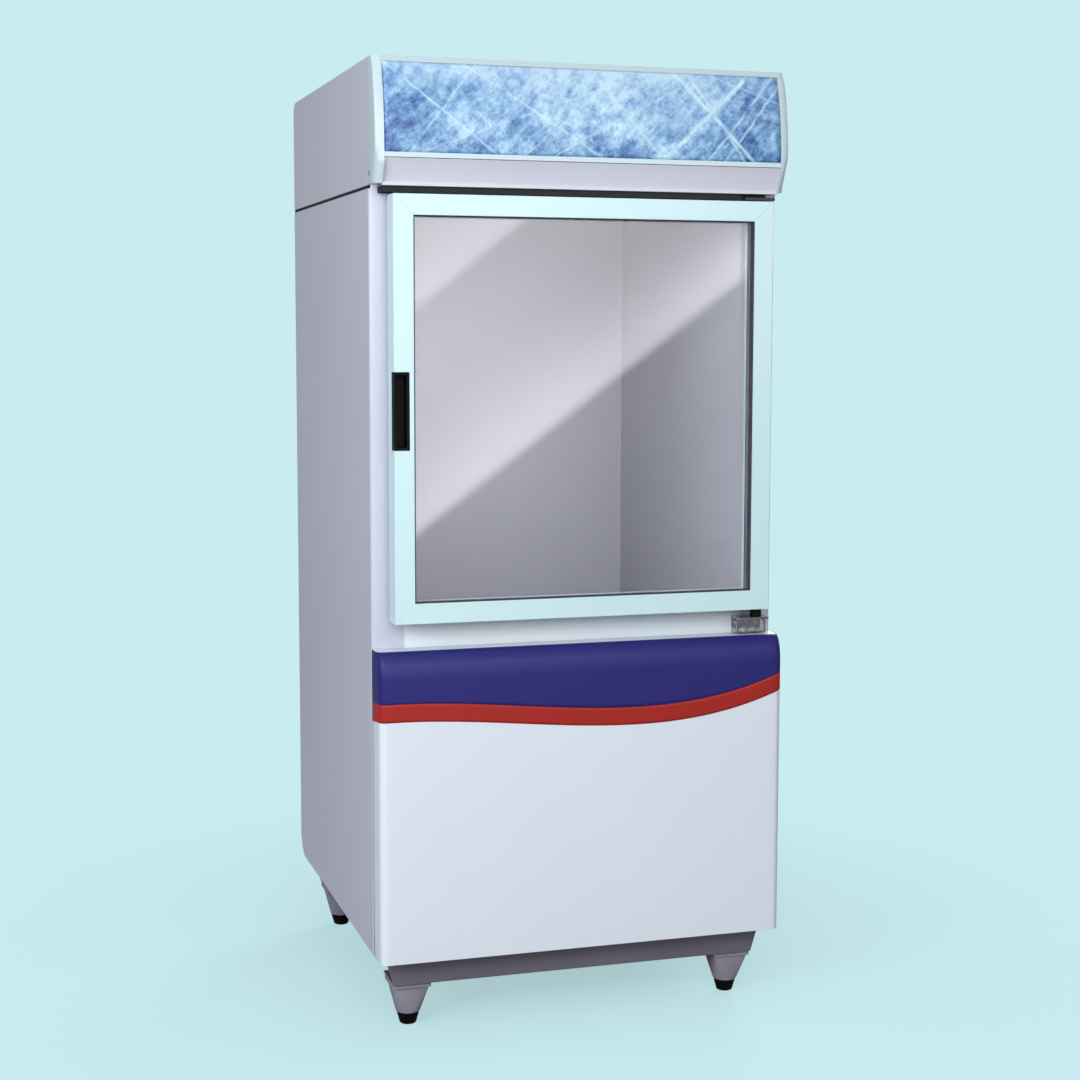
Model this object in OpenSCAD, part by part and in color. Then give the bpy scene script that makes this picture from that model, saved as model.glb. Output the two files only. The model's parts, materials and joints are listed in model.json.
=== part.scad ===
// Ice merchandiser freezer: an insulated cabinet with one framed glass door, a lit canopy over it and
// the cooling machinery behind a moulded lower front panel.
// The origin is on the floor under the middle of the freezer. +Z is up, the door faces -Y and its
// hinges are on the +X side. Most pieces are drawn from the cabinet's front flange (Y) and lower edge (Z).

/* [Cabinet] */
// Width over the side skins
cab_w = 800; // [760:10:900]
// Depth from the front flange to the rear flange
cab_d = 770; // [740:10:840]
// Thickness of the steel sheet
skin_t = 1; // [0.8:0.1:2]
// Outside radius of the front vertical edges
edge_r = 8; // [4:1:12]
// Radius of the lower rear corner, seen from the side
rear_r = 50; // [30:5:58]
// Width of the front flange that the door seals on
flange_w = 62; // [60:1:70]
// Width of the rear flanges
rear_flange_w = 30; // [24:1:40]
// Height of the side skins above the mouth
header_h = 43; // [36:1:60]

/* [Ice store] */
// Height of the mouth that the door closes
mouth_h = 717; // [600:10:800]
// Depth of the store's floor below the mouth
sill_drop = 118; // [60:2:130]
// Height of the store's ceiling above the mouth
head_rise = 40; // [20:1:42]
// Thickness of each side wall, from skin to liner face
side_wall = 60; // [56:1:70]
// Thickness of the back wall
back_wall = 55; // [45:1:70]
// Thickness of the front wall under and over the mouth
front_wall = 38; // [30:1:60]
// Thickness of the floor
floor_wall = 60; // [40:1:70]
// Thickness of the roof
roof_wall = 45; // [40:1:60]
// Thickness of the moulded liner
liner_t = 2.5; // [2:0.5:4]
// Runs of cooling tube round the liner
tube_runs = 6; // [4:2:8]
// Distance between two runs of the cooling tube
tube_pitch = 120; // [60:5:130]
// Outside radius of the cooling tube
tube_r = 4.5; // [3:0.5:6]
// Distance between two bars of the floor grate
grate_pitch = 33; // [20:1:60]
// Outside radius of the drain tube
drain_r = 9; // [6:1:12]

/* [Lower front panel] */
// Height of the panel
panel_h = 584; // [540:2:640]
// How far the panel stands out from the cabinet
panel_reach = 66; // [50:1:80]
// Wall of the moulding
panel_t = 3; // [2:0.5:5]
// Radius of its vertical edges
panel_edge_r = 15; // [8:1:20]
// Depth of the rounding along its top edge
panel_round_d = 25; // [10:1:30]
// Height of the rounding along its top edge
panel_round_h = 50; // [20:1:80]
// Thickness of the coloured films
film_t = 0.4; // [0.2:0.1:0.8]
// Height of the wave at the left edge
wave_left = 490; // [440:1:500]
// Height that the wave leaves the left edge towards
wave_lead = 498; // [460:1:510]
// Height that the wave falls towards before the right edge
wave_dip = 405; // [380:1:440]
// Height of the wave at the right edge
wave_right = 514; // [440:1:530]
// Height of the lower stripe
stripe_h = 34; // [20:1:60]
// Strip of cabinet that shows between panel and door
sill_show = 53; // [46:1:70]

/* [Door] */
// Overlap of the door beyond the mouth on each side
door_lap = 31; // [28:1:36]
// Thickness of the door frame
door_t = 48; // [42:1:56]
// Width of the door frame's face
frame_w = 37.5; // [34:0.5:50]
// Thickness of the lips that hold the glass
lip_t = 14; // [10:1:16]
// Depth of the channel for the glass
channel_d = 10; // [8:1:14]
// Wall of the hollow frame members
frame_wall = 3; // [2:0.5:4]
// Thickness of each pane
pane_t = 4; // [3:1:6]
// Gap between the two panes
pane_gap = 12; // [8:1:14]
// Visible width of the black bead round the glass
bead_w = 2; // [1:0.5:4]
// Room for the gasket between door and cabinet
gasket_d = 14; // [10:1:18]
// Width of the gasket
gasket_w = 14; // [10:1:16]
// Distance of the hinge axis from the door's edge
pin_in = 14; // [12:1:18]
// Distance of the hinge axis from the door's front
pin_back = 28; // [24:1:32]
// Radius of the hinge pins
pin_r = 6; // [4:0.5:7]
// Room between the lower bracket and the door
hinge_gap = 18; // [14:1:24]
// Height of the handle insert
handle_h = 142; // [110:2:200]
// Width of the handle insert
handle_w = 29; // [24:1:32]
// Depth of the handle insert
handle_d = 22; // [16:1:24]
// Height of the handle's middle above the door's lower edge
handle_z = 389; // [300:1:450]

/* [Canopy] */
// Height of the canopy
canopy_h = 228; // [200:2:260]
// How far the canopy stands out from the cabinet
canopy_reach = 62; // [56:1:80]
// Height of the seam between cabinet and canopy
seam_h = 6; // [4:1:8]
// Width of each end cap
cap_w = 16; // [12:1:24]
// Radius of the picture panel's bulge
picture_r = 469; // [420:1:600]
// Thickness of the picture panel
picture_t = 3; // [2:0.5:4]
// Radius of the upper rear corner, seen from the side
canopy_rear_r = 25; // [10:1:40]
// Radius of the lamp tubes
lamp_r = 13; // [8:1:15]

/* [Base] */
// Height of the levelling feet
foot_h = 24; // [16:1:40]
// Height of the tapered legs
leg_h = 54; // [40:1:90]
// Thickness of the leg's top plate
leg_plate_t = 10; // [6:1:14]
// Side of the leg's square top plate
leg_plate_w = 74; // [60:1:84]
// Distance of each leg's middle in from the cabinet's side
leg_inset = 73; // [60:1:90]
// Height of the base rails
rail_h = 60; // [40:1:80]
// Depth of the base rails
rail_d = 90; // [80:1:100]
// Distance of the base rails' upper ends in from the cabinet's side
rail_inset = 18; // [12:1:30]
// How much the rail's ends slope in
rail_slope = 18; // [0:1:24]
// Sheet thickness of the base rails
rail_t = 3; // [2:0.5:4]

/* [Machine] */
// Thickness of the machine deck
deck_t = 2; // [1.5:0.5:4]
// Radius of the compressor's shell
comp_r = 78; // [60:1:90]
// Height of the compressor's shell
comp_h = 120; // [90:1:160]
// Side of the condenser and of the fan shroud
coil_w = 300; // [280:2:320]
// Depth of the condenser
coil_d = 50; // [40:1:60]
// Number of condenser fins
fin_count = 25; // [10:1:40]
// Radius of the fan
fan_r = 112; // [90:1:118]
// Number of fan blades
blade_count = 5; // [3:1:7]
// Radius of the fan's shaft
shaft_r = 3; // [2:0.5:5]
// Width of the drain tray
tray_w = 224; // [180:4:260]
// Height of the drain tray
tray_h = 34; // [24:2:40]
// Length of the drain tray
tray_l = 182; // [140:2:200]
// Width of the compressor's base plate
comp_base_w = 190; // [180:2:220]
// Depth of the compressor's base plate
comp_base_d = 140; // [130:2:160]
// Width of the control box
box_w = 160; // [150:2:200]
// Height of the control box
box_h = 150; // [140:2:180]
// Depth of the control box
box_d = 90; // [60:2:110]
// Radius of the thermostat knob
knob_r = 18; // [12:1:22]
// Radius of the hole for the mains cord
cord_r = 4.5; // [3:0.5:6]

/* [Hidden] */
$fn = 48;

// Small shared sizes
cut = 1;               // how far a cut runs past a face
fit_gap = 0.05;        // radial clearance of a pin in its hole
seat_gap = 0.3;        // clearance of a moving piece over its seat
screw_r = 2;
screw_head_r = 4.5;
screw_head_h = 1.5;

// Places of the base, the cabinet and its front
body_z = foot_h + leg_h + leg_plate_t + rail_h;
front_y = -(cab_d + screw_head_h - max(canopy_reach, panel_reach + film_t)) / 2;
half_w = cab_w / 2;
inner_half = half_w - skin_t;

// Mouth, door and store, from the cabinet's lower edge
mouth_half = half_w - flange_w;
mouth_z0 = panel_h + sill_show + door_lap;
mouth_z1 = mouth_z0 + mouth_h;
side_h = mouth_z1 + header_h;
store_half = half_w - side_wall;
store_y0 = front_wall;
store_y1 = cab_d - back_wall;
store_z0 = mouth_z0 - sill_drop;
store_z1 = mouth_z1 + head_rise;
foam_z0 = store_z0 - floor_wall;
foam_z1 = store_z1 + roof_wall;
back_in = cab_d - 2 * skin_t;          // inner face of the back panel and the grille
pan_half = inner_half - 2.5;           // outer face of the roof pan's side flanges

door_half = mouth_half + door_lap;
door_z0 = mouth_z0 - door_lap;
door_z1 = mouth_z1 + door_lap;
door_y1 = -gasket_d;
door_y0 = door_y1 - door_t;
pin_x = door_half - pin_in;
pin_y = door_y0 + pin_back;
channel_in = frame_w - channel_d;
bead_t = 2;
glass_in = channel_in + 2;
glass_v = lip_t + bead_t;              // front of the outer pane, from the door's front
bush_r = pin_r + 5;
neck_r = pin_r + 2;
neck_h = 13;
pin_rise = 11;
rod_r = 5;
rod_l = 340;
top_gap = 3;                           // room between the door and the upper bracket
top_pin_h = 12;
bracket_t = 5;
bracket_x0 = pin_x - 37;
bracket_x1 = pin_x + 23;

// Canopy, from the cabinet's lower edge
can_z0 = side_h + seam_h;
can_z1 = can_z0 + canopy_h;
cap_in = half_w - cap_w;
picture_y = -canopy_reach + 2;         // foremost line of the picture panel
picture_mid = can_z0 + 66;             // height of that line
picture_z0 = can_z0 + 55;
trim_h = 11;
picture_z1 = can_z1 - trim_h;
fascia_z1 = can_z0 + 45;
fascia_z0 = can_z0 + 3;
lip_z0 = can_z0 - 3;
fascia_y = 18 - canopy_reach;          // front of the fascia's lower edge
lip_w = 21;                            // depth of the ledge under it
lamp_y = -25;
lamp_zs = [can_z0 + 101, can_z0 + 171];
holder_w = 12;

// Base
rail_front_y = -10;
rail_rear_y = cab_d - 38;              // rear face of the rear rail
leg_ys = [rail_front_y + rail_d / 2, rail_rear_y - rail_d / 2];
foot_top_r = 21;
foot_base_r = 16;
leg_base_r = 23;
stem_r = 5;
stem_h = 44;
leg_x = half_w - leg_inset;
rail_half = half_w - rail_inset;
deck_half = half_w - 4;
deck_y1 = cab_d - rear_r - 2;
ledge_h = 52;

// Machine room
coil_x = coil_w / 2 + 60 - half_w;
coil_y = 40;
coil_z = deck_t + 8;
coil_stub_in = 20;                     // places of the condenser's pipe stubs
coil_stub_h = 20;
fan_z = coil_z + coil_w / 2;
shroud_y = coil_y + coil_d;
fan_y = shroud_y + 26;                 // middle of the fan
arm_y = shroud_y + 44;
tray_y1 = deck_y1 + 4;
tray_y0 = tray_y1 - tray_l;
tray_t = 2;
comp_x = half_w - 260;
comp_y = tray_y0 - comp_base_d / 2 - 40;
comp_foot_h = 16;
comp_z = deck_t + comp_foot_h;
comp_foot_x = comp_base_w / 2 - 20;    // places of the compressor's rubber feet
comp_foot_y = comp_base_d / 2 - 15;
stub_out = comp_r - 42;                // distance of its pipe stubs from its axis
stub_h = 40;                           // how far they rise over the shell's wall
box_x1 = half_w - 50;
box_x0 = box_x1 - box_w;
box_z1 = foam_z0 - 90;
box_z0 = box_z1 - box_h;
box_y0 = back_in - box_d;
face_y = back_in - 15;                 // face that carries the knob and the switch
boss_t = 15;                           // thickness behind that face
stalk_r = 4;
rocker_pin_r = 1.5;
knob_x = box_x1 - 50;
switch_x = box_x0 + 50;
dial_z = (box_z0 + box_z1) / 2 + 5;
window_x0 = box_x0 + 12;               // window of the grille in front of that face
window_x1 = box_x1 - 12;
window_z0 = dial_z - 34;
window_z1 = dial_z + 34;
rocker_tilt = 8;
rocker_l = 22;
rocker_w = 12;
grille_z0 = 60;
slot_h = 8;
slot_pitch = 20;
slot_gap = 50;
gland_x = 70 - half_w;
gland_z = 110;

// Cooling tube: its middle line lies against the liner
tube_x = store_half + liner_t + tube_r + 0.2;
tube_y0 = store_y0 + 30;
tube_y1 = store_y1 + liner_t + tube_r + 0.2;
tube_z = store_z0 + 60;
return_x = tube_x + 3 * tube_r;
groove = 2 * tube_r + 1;

// ---- Helpers ----------------------------------------------------------------

module cabinet_place() translate([0, front_y, body_z]) children();

module block(x0, x1, y0, y1, z0, z1) translate([x0, y0, z0]) cube([x1 - x0, y1 - y0, z1 - z0]);

// A (y, z) outline carried along X
module along_x(x0, x1) translate([x0, 0, 0]) rotate([90, 0, 90]) linear_extrude(x1 - x0) children();

// An (x, z) outline carried along Y
module along_y(y0, y1) translate([0, y1, 0]) rotate([90, 0, 0]) linear_extrude(y1 - y0) children();

module cyl_y(x, y0, y1, z, r) translate([x, y1, z]) rotate([90, 0, 0]) cylinder(r = r, h = y1 - y0);

module cyl_x(x0, x1, y, z, r) translate([x0, y, z]) rotate([0, 90, 0]) cylinder(r = r, h = x1 - x0);

module both_sides() {
    children();
    mirror([1, 0, 0]) children();
}

// What rounds the corner (x, y) of a sheet off to radius r; sx and sy point into the sheet
module corner_cut(x, y, r, sx, sy) translate([x, y]) difference() {
    translate([sx > 0 ? -cut : -r, sy > 0 ? -cut : -r]) square([r + cut, r + cut]);
    translate([sx * r, sy * r]) circle(r, $fn = 96);
}

function unit(v) = v / norm(v);

// A corner of a bent tube: points on a parabola between the two straight runs
function bend(a, b, c, r) = let(p = b + unit(a - b) * r, q = b + unit(c - b) * r)
    [for (s = [0:0.25:1]) (1 - s) * (1 - s) * p + 2 * s * (1 - s) * b + s * s * q];

function tube_line(p, r) = concat([p[0]],
    [for (i = [1:len(p) - 2]) each bend(p[i - 1], p[i], p[i + 1], r)], [p[len(p) - 1]]);

function directions(p) = let(n = len(p) - 1) [for (i = [0:n]) unit(p[min(i + 1, n)] - p[max(i - 1, 0)])];

function carried(v, t) = unit(v - (v * t) * t);

function side_vectors(t, v, i = 0) = i == len(t) ? [] :
    let(w = carried(v, t[i])) concat([w], side_vectors(t, w, i + 1));

// A bent tube of eight sides along the points p; v is any direction across its first run
module bent_tube(p, r, bend_r, v) {
    sides = 8;
    line = tube_line(p, bend_r);
    t = directions(line);
    s = side_vectors(t, v);
    n = len(line);
    rings = [for (i = [0:n - 1]) for (k = [0:sides - 1])
        line[i] + r * (cos(360 * k / sides) * s[i] + sin(360 * k / sides) * cross(t[i], s[i]))];
    walls = [for (i = [0:n - 2]) for (k = [0:sides - 1]) for (half = [0, 1])
        let(a = i * sides + k, b = i * sides + (k + 1) % sides)
        half == 0 ? [a, a + sides, b + sides] : [a, b + sides, b]];
    start = [for (k = [1:sides - 2]) [0, k, k + 1]];
    finish = [for (k = [1:sides - 2]) [(n - 1) * sides, (n - 1) * sides + k + 1, (n - 1) * sides + k]];
    polyhedron(rings, concat(walls, start, finish));
}

// ---- Cabinet ----------------------------------------------------------------

module side_outline() {
    difference() {
        square([cab_d, side_h]);
        corner_cut(cab_d, 0, rear_r, -1, 1);
    }
}

module side_plan() {
    difference() {
        translate([-half_w, 0]) square([flange_w, cab_d]);
        corner_cut(-half_w, 0, edge_r, 1, 1);
        difference() {
            translate([-inner_half, skin_t]) square([flange_w, cab_d - 2 * skin_t]);
            corner_cut(-inner_half, skin_t, edge_r - skin_t, 1, 1);
        }
        translate([-half_w + rear_flange_w, skin_t]) square([flange_w, cab_d]);
    }
}

rear_screw_x = half_w - rear_flange_w / 2;
rear_screw_zs = [grille_z0 + 60, foam_z0 - 50, foam_z0 + 200, side_h - 220];

module rear_screw_holes() {
    both_sides() for (z = rear_screw_zs)
        cyl_y(rear_screw_x, back_in - cut, cab_d + cut, z, screw_r + fit_gap);
}

module side_skin() {
    difference() {
        intersection() {
            linear_extrude(side_h) side_plan();
            along_x(-half_w, -mouth_half) side_outline();
        }
        rear_screw_holes();
    }
}

module side_panel_left() color("white") cabinet_place() side_skin();

module side_panel_right() color("white") cabinet_place() mirror([1, 0, 0]) side_skin();

module back_panel() color("gainsboro") cabinet_place() difference() {
    block(-inner_half, inner_half, back_in, cab_d - skin_t, foam_z0 - skin_t, side_h);
    rear_screw_holes();
}

module top_panel() color("gainsboro") cabinet_place() difference() {
    block(-pan_half, pan_half, skin_t, back_in, side_h, foam_z1);
    block(skin_t - pan_half, pan_half - skin_t, 0, back_in - skin_t, side_h - cut, foam_z1 - skin_t);
}

// Sheet strips that close the front under and over the mouth, and the ends of the roof pan
module front_strips() color("white") cabinet_place() {
    block(-mouth_half, mouth_half, 0, skin_t, foam_z0 - skin_t, mouth_z0);
    block(-mouth_half, mouth_half, 0, skin_t, mouth_z1, foam_z1);
    block(-pan_half, pan_half, 0, skin_t, side_h, foam_z1);
}

// What clears the rounded front corners of the side skins, up to height z
module corner_room(z) both_sides() linear_extrude(z) corner_cut(-inner_half, skin_t, edge_r - skin_t, 1, 1);

module floor_pan() color("gainsboro") cabinet_place() difference() {
    block(-inner_half, inner_half, skin_t, back_in, foam_z0 - skin_t, foam_z0);
    corner_room(foam_z0 + cut);
    tube_passages(foam_z0 - skin_t - cut, foam_z0 + cut);
    translate([0, drain_y, foam_z0 - 2 * skin_t]) cylinder(r = drain_r + fit_gap, h = 4 * skin_t);
}

// ---- Ice store --------------------------------------------------------------

drain_y = store_y1 - 60;

// The store and its mouth, grown by g on all sides
module store(g, front) {
    block(-store_half - g, store_half + g, store_y0 - g, store_y1 + g, store_z0 - g, store_z1 + g);
    block(-mouth_half - g, mouth_half + g, front, store_y0, mouth_z0 - g, mouth_z1 + g);
}

module inner_liner() color("whitesmoke") cabinet_place() difference() {
    store(liner_t, skin_t);
    store(0, -cut);
    translate([0, drain_y, store_z0 - 2 * liner_t]) cylinder(r = drain_r + fit_gap, h = 4 * liner_t);
}

// Square passages for the two ends of the cooling tube
module tube_passages(z0, z1) {
    for (x = [-tube_x, -return_x])
        block(x - groove / 2, x + groove / 2, tube_y0 - groove / 2, tube_y0 + groove / 2, z0, z1);
}

// Room in the foam for the cooling tube
module tube_grooves() {
    top_z = tube_z + (tube_runs - 1) * tube_pitch;
    for (i = [0:tube_runs - 1])
        block(-tube_x - groove / 2, tube_x + groove / 2, tube_y0 - groove / 2, tube_y1 + groove / 2,
            tube_z + i * tube_pitch - groove / 2, tube_z + i * tube_pitch + groove / 2);
    for (i = [0:tube_runs - 2]) {
        side = i % 2 == 0 ? 1 : -1;
        block(side * tube_x - groove / 2, side * tube_x + groove / 2,
            tube_y0 - groove / 2, tube_y0 + groove / 2,
            tube_z + i * tube_pitch, tube_z + (i + 1) * tube_pitch);
    }
    tube_passages(foam_z0 - cut, tube_z);
    block(-return_x - groove / 2, groove / 2 - return_x, tube_y0 - groove / 2, tube_y0 + groove / 2,
        foam_z0 - cut, top_z + groove / 2);
    block(-return_x, -tube_x, tube_y0 - groove / 2, tube_y0 + groove / 2,
        top_z - groove / 2, top_z + groove / 2);
}

module foam_insulation() color("khaki") cabinet_place() difference() {
    union() {
        block(-inner_half, inner_half, skin_t, back_in, foam_z0, side_h);
        block(skin_t - pan_half, pan_half - skin_t, skin_t, back_in - skin_t,
            side_h - cut, foam_z1 - skin_t);
    }
    store(liner_t, -cut);
    tube_grooves();
    translate([0, drain_y, foam_z0 - cut]) cylinder(r = drain_r + fit_gap, h = floor_wall + 2 * cut);
    corner_room(side_h + cut);
    for (z = rear_screw_zs) both_sides() block(rear_screw_x - 4, rear_screw_x + 4, back_in - 6,
        back_in + cut, z - 4, z + 4);
}

module evaporator_tube() color("peru") cabinet_place() {
    last_z = tube_z + (tube_runs - 1) * tube_pitch;
    runs = [for (i = [0:tube_runs - 1]) for (k = [0:3])
        let(z = tube_z + i * tube_pitch, side = i % 2 == 0 ? -1 : 1)
        k == 0 ? [side * tube_x, tube_y0, z] : k == 1 ? [side * tube_x, tube_y1, z] :
        k == 2 ? [-side * tube_x, tube_y1, z] : [-side * tube_x, tube_y0, z]];
    ends = [[-return_x, tube_y0, last_z], [-return_x, tube_y0, foam_z0 - 10]];
    bent_tube(concat([[-tube_x, tube_y0, foam_z0 - 10]], runs, ends), tube_r, 6, [1, 0, 0]);
}

module floor_grate() color("white") cabinet_place() {
    bar = 5;
    half = store_half - 10;
    count = floor(half / grate_pitch);
    for (i = [-count:count]) block(i * grate_pitch - bar / 2, i * grate_pitch + bar / 2,
        store_y0 + 8, store_y1 - 8, store_z0 + bar, store_z0 + 2 * bar);
    for (k = [0:4]) let(y = store_y0 + 8 + k * (store_y1 - store_y0 - 16 - bar) / 4)
        block(-count * grate_pitch - bar / 2, count * grate_pitch + bar / 2,
            y, y + bar, store_z0, store_z0 + 1.2 * bar);
}

module drain_tube() color("gray") cabinet_place() difference() {
    union() {
        translate([0, drain_y, grille_z0 + 20]) cylinder(r = drain_r, h = store_z0 - grille_z0 - 20);
        translate([0, drain_y, store_z0]) cylinder(r = drain_r + 6, h = 1.5);
    }
    translate([0, drain_y, grille_z0]) cylinder(r = drain_r - 2, h = store_z0);
}

// ---- Lower front panel ------------------------------------------------------

// Side view of the panel: flat front, elliptical rounding into the flat top
function panel_profile(g) = concat([[0, -g], [-panel_reach - g, -g]],
    [for (a = [0:10:90]) [-panel_reach + panel_round_d - (panel_round_d + g) * cos(a),
        panel_h - panel_round_h + (panel_round_h + g) * sin(a)]], [[0, panel_h + g]]);

// The panel's outer form, grown by g; its lower edge keeps its height when g is positive
module panel_form(g, z0) {
    half = half_w - film_t + g;
    r = panel_edge_r + g;
    intersection() {
        along_x(-half, half) polygon(panel_profile(g));
        translate([0, 0, z0]) linear_extrude(panel_h + 2 * panel_t) difference() {
            translate([-half, -panel_reach - g]) square([2 * half, panel_reach + g + cut]);
            corner_cut(-half, -panel_reach - g, r, 1, 1);
            mirror([1, 0]) corner_cut(-half, -panel_reach - g, r, 1, 1);
        }
    }
}

module lower_panel() color("aliceblue") cabinet_place() {
    difference() {
        panel_form(0, 0);
        translate([0, cut, 0]) panel_form(-panel_t, panel_t);
        block(panel_t + film_t - half_w, half_w - panel_t - film_t, -2 * cut, 2 * cut,
            panel_t, panel_h - panel_t);
    }
    // lips that lie on the cabinet's front flanges
    both_sides() block(-half_w + film_t + panel_t - 0.5, -half_w + edge_r + 14, -panel_t, 0,
        panel_t - 0.5, panel_h - panel_t + 0.5);
}

// Height of the wave at x: a cubic curve through its two ends
function wave(x) = let(t = min(max((x + half_w) / cab_w, 0), 1), u = 1 - t)
    u * u * u * wave_left + 3 * u * u * t * wave_lead + 3 * u * t * t * wave_dip + t * t * t * wave_right;

// The wave drawn over the panel's whole width, lowered by d
wave_xs = [for (i = [-16:16]) i * (half_w + 2) / 16];

function wave_line(d) = [for (x = wave_xs) [x, wave(x) - d]];

function reversed(p) = [for (i = [len(p) - 1:-1:0]) p[i]];

// A film over the panel's front, sides and rounding, inside an (x, z) outline; the flat top stays bare
module film(outline) difference() {
    intersection() {
        panel_form(film_t, 0);
        along_y(-panel_reach - 5, 0) polygon(outline);
    }
    panel_form(0, 0);
    translate([0, cut, 0]) panel_form(0, 0);
    block(-half_w, half_w, panel_round_d - panel_reach, cut, panel_h - film_t, panel_h + 2);
}

module blue_band() color("midnightblue") cabinet_place()
    film(concat(wave_line(0), [[half_w + 2, panel_h + 5], [-half_w - 2, panel_h + 5]]));

module red_stripe() color("firebrick") cabinet_place()
    film(concat(wave_line(stripe_h), reversed(wave_line(0))));

// ---- Door -------------------------------------------------------------------

// A slab of the door's outline drawn in by i, from depth v0 to v1 behind the door's front
module door_slab(i, v0, v1) block(i - door_half, door_half - i, door_y0 + v0, door_y0 + v1,
    door_z0 + i, door_z1 - i);

module door_ring(i0, i1, v0, v1) difference() {
    door_slab(i0, v0, v1);
    door_slab(i1, v0 - cut, v1 + cut);
}

lip_back_v = glass_v + 2 * pane_t + pane_gap + bead_t;
handle_z0 = door_z0 + handle_z - handle_h / 2;
handle_z1 = handle_z0 + handle_h;

module door_frame() difference() {
    door_ring(0, frame_w, 0, door_t);
    door_slab(channel_in, lip_t, lip_back_v);
    // pin holes of both hinges and the closer's bore
    translate([pin_x, pin_y, door_z0 - cut]) cylinder(r = neck_r + fit_gap, h = neck_h + cut);
    translate([pin_x, pin_y, door_z1 - top_pin_h - cut])
        cylinder(r = pin_r + fit_gap, h = top_pin_h + 2 * cut);
    translate([pin_x, pin_y, door_z0 + neck_h - cut]) cylinder(r = rod_r, h = rod_l + 2 * cut);
    // pocket for the handle insert
    block(-door_half - cut, handle_w - door_half, door_y0 - cut, door_y0 + handle_d, handle_z0, handle_z1);
    // chambers of the hollow members, short of the solid corners
    block(-door_half + frame_wall, channel_in - frame_wall - door_half, door_y0 + handle_d + frame_wall,
        door_y1 - frame_wall, door_z0 + 2 * frame_w, door_z1 - 2 * frame_w);
    for (z = [door_z0 + frame_wall, door_z1 - channel_in + frame_wall])
        block(2 * frame_w - door_half, door_half - 2 * frame_w, door_y0 + frame_wall,
            door_y1 - frame_wall, z, z + channel_in - 2 * frame_wall);
}

// Mitred outlines of the members, in (x, z)
module stile_mitre() polygon([[-door_half, door_z0], [frame_w - door_half, door_z0 + frame_w],
    [frame_w - door_half, door_z1 - frame_w], [-door_half, door_z1]]);

module rail_mitre(z0, z1) polygon([[-door_half, z0], [frame_w - door_half, z1],
    [door_half - frame_w, z1], [door_half, z0]]);

module member() {
    intersection() {
        door_frame();
        along_y(door_y0, door_y1) children();
    }
}

module door_stile_left() color("ghostwhite") cabinet_place() member() stile_mitre();

module door_stile_right() color("ghostwhite") cabinet_place() member() mirror([1, 0]) stile_mitre();

module door_rail_top() color("ghostwhite") cabinet_place() member()
    rail_mitre(door_z1, door_z1 - frame_w);

module door_rail_bottom() color("ghostwhite") cabinet_place() member()
    rail_mitre(door_z0, door_z0 + frame_w);

module outer_pane() color("lightsteelblue", 0.4) cabinet_place()
    door_slab(glass_in, glass_v, glass_v + pane_t);

module inner_pane() color("lightsteelblue", 0.4) cabinet_place()
    door_slab(glass_in, glass_v + pane_t + pane_gap, glass_v + 2 * pane_t + pane_gap);

module pane_spacer() color("silver") cabinet_place()
    door_ring(glass_in, frame_w + 0.5, glass_v + pane_t, glass_v + pane_t + pane_gap);

// Black bead: it lines the step down to the glass and runs behind both lips
module glazing_bead() color("black") cabinet_place() {
    door_ring(frame_w, frame_w + bead_w, 0.5, glass_v);
    door_ring(glass_in, frame_w + bead_w, lip_t, glass_v);
    door_ring(glass_in, frame_w, lip_back_v - bead_t, lip_back_v);
}

module door_gasket() color("dimgray") cabinet_place()
    door_ring(pin_in, pin_in + gasket_w, door_t, door_t + gasket_d - seat_gap);

module handle_insert() color("black") cabinet_place() difference() {
    play = 0.2;
    block(-door_half, handle_w - play - door_half, door_y0, door_y0 + handle_d - play,
        handle_z0 + play, handle_z1 - play);
    block(4 - door_half, handle_w - 6 - door_half, door_y0 - cut, door_y0 + handle_d - 4,
        handle_z0 + 6, handle_z1 - 6);
}

module closer_rod() color("silver") cabinet_place()
    translate([pin_x, pin_y, door_z0 + neck_h]) cylinder(r = rod_r - fit_gap, h = rod_l);

module hinge_bush() color("black") cabinet_place() difference() {
    union() {
        translate([pin_x, pin_y, door_z0 - hinge_gap + seat_gap])
            cylinder(r = bush_r, h = hinge_gap - seat_gap);
        translate([pin_x, pin_y, door_z0 - cut]) cylinder(r = neck_r, h = neck_h + cut);
    }
    translate([pin_x, pin_y, door_z0 - hinge_gap - cut]) cylinder(r = pin_r + fit_gap,
        h = hinge_gap + pin_rise + 2 * cut);
}

bracket_z1 = door_z0 - hinge_gap;
bracket_z0 = panel_h + 3;
arch_r = 8;

module bracket_screw_holes(y0, y1, z) for (x = [bracket_x0 + 10, bracket_x1 - 10])
    cyl_y(x, y0, y1, z, screw_r + fit_gap);

module hinge_bracket_bottom() color("silver") cabinet_place() {
    web_y = pin_y + 4;
    difference() {
        union() {
            block(bracket_x0, bracket_x1, -3, 0, bracket_z0, bracket_z1);
            block(bracket_x0, bracket_x1, pin_y - 12, 0, bracket_z1 - 4, bracket_z1);
            block(bracket_x0, bracket_x1, web_y, web_y + 3, bracket_z0, bracket_z1 - 3);
            block(bracket_x0, bracket_x1, web_y, -2, bracket_z0, bracket_z0 + 2);
        }
        for (k = [-1:1]) let(x = (bracket_x0 + bracket_x1) / 2 + k * 19) {
            cyl_y(x, web_y - cut, web_y + 3 + cut, bracket_z1 - 6 - arch_r, arch_r);
            block(x - arch_r, x + arch_r, web_y - cut, web_y + 3 + cut, bracket_z0 + 3,
                bracket_z1 - 6 - arch_r);
        }
        bracket_screw_holes(-3 - cut, cut, (bracket_z0 + bracket_z1) / 2);
    }
    translate([pin_x, pin_y, bracket_z1 - 2]) cylinder(r = pin_r, h = hinge_gap + pin_rise + 2);
}

upper_z0 = door_z1 + top_gap;
upright_h = 28;

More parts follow.
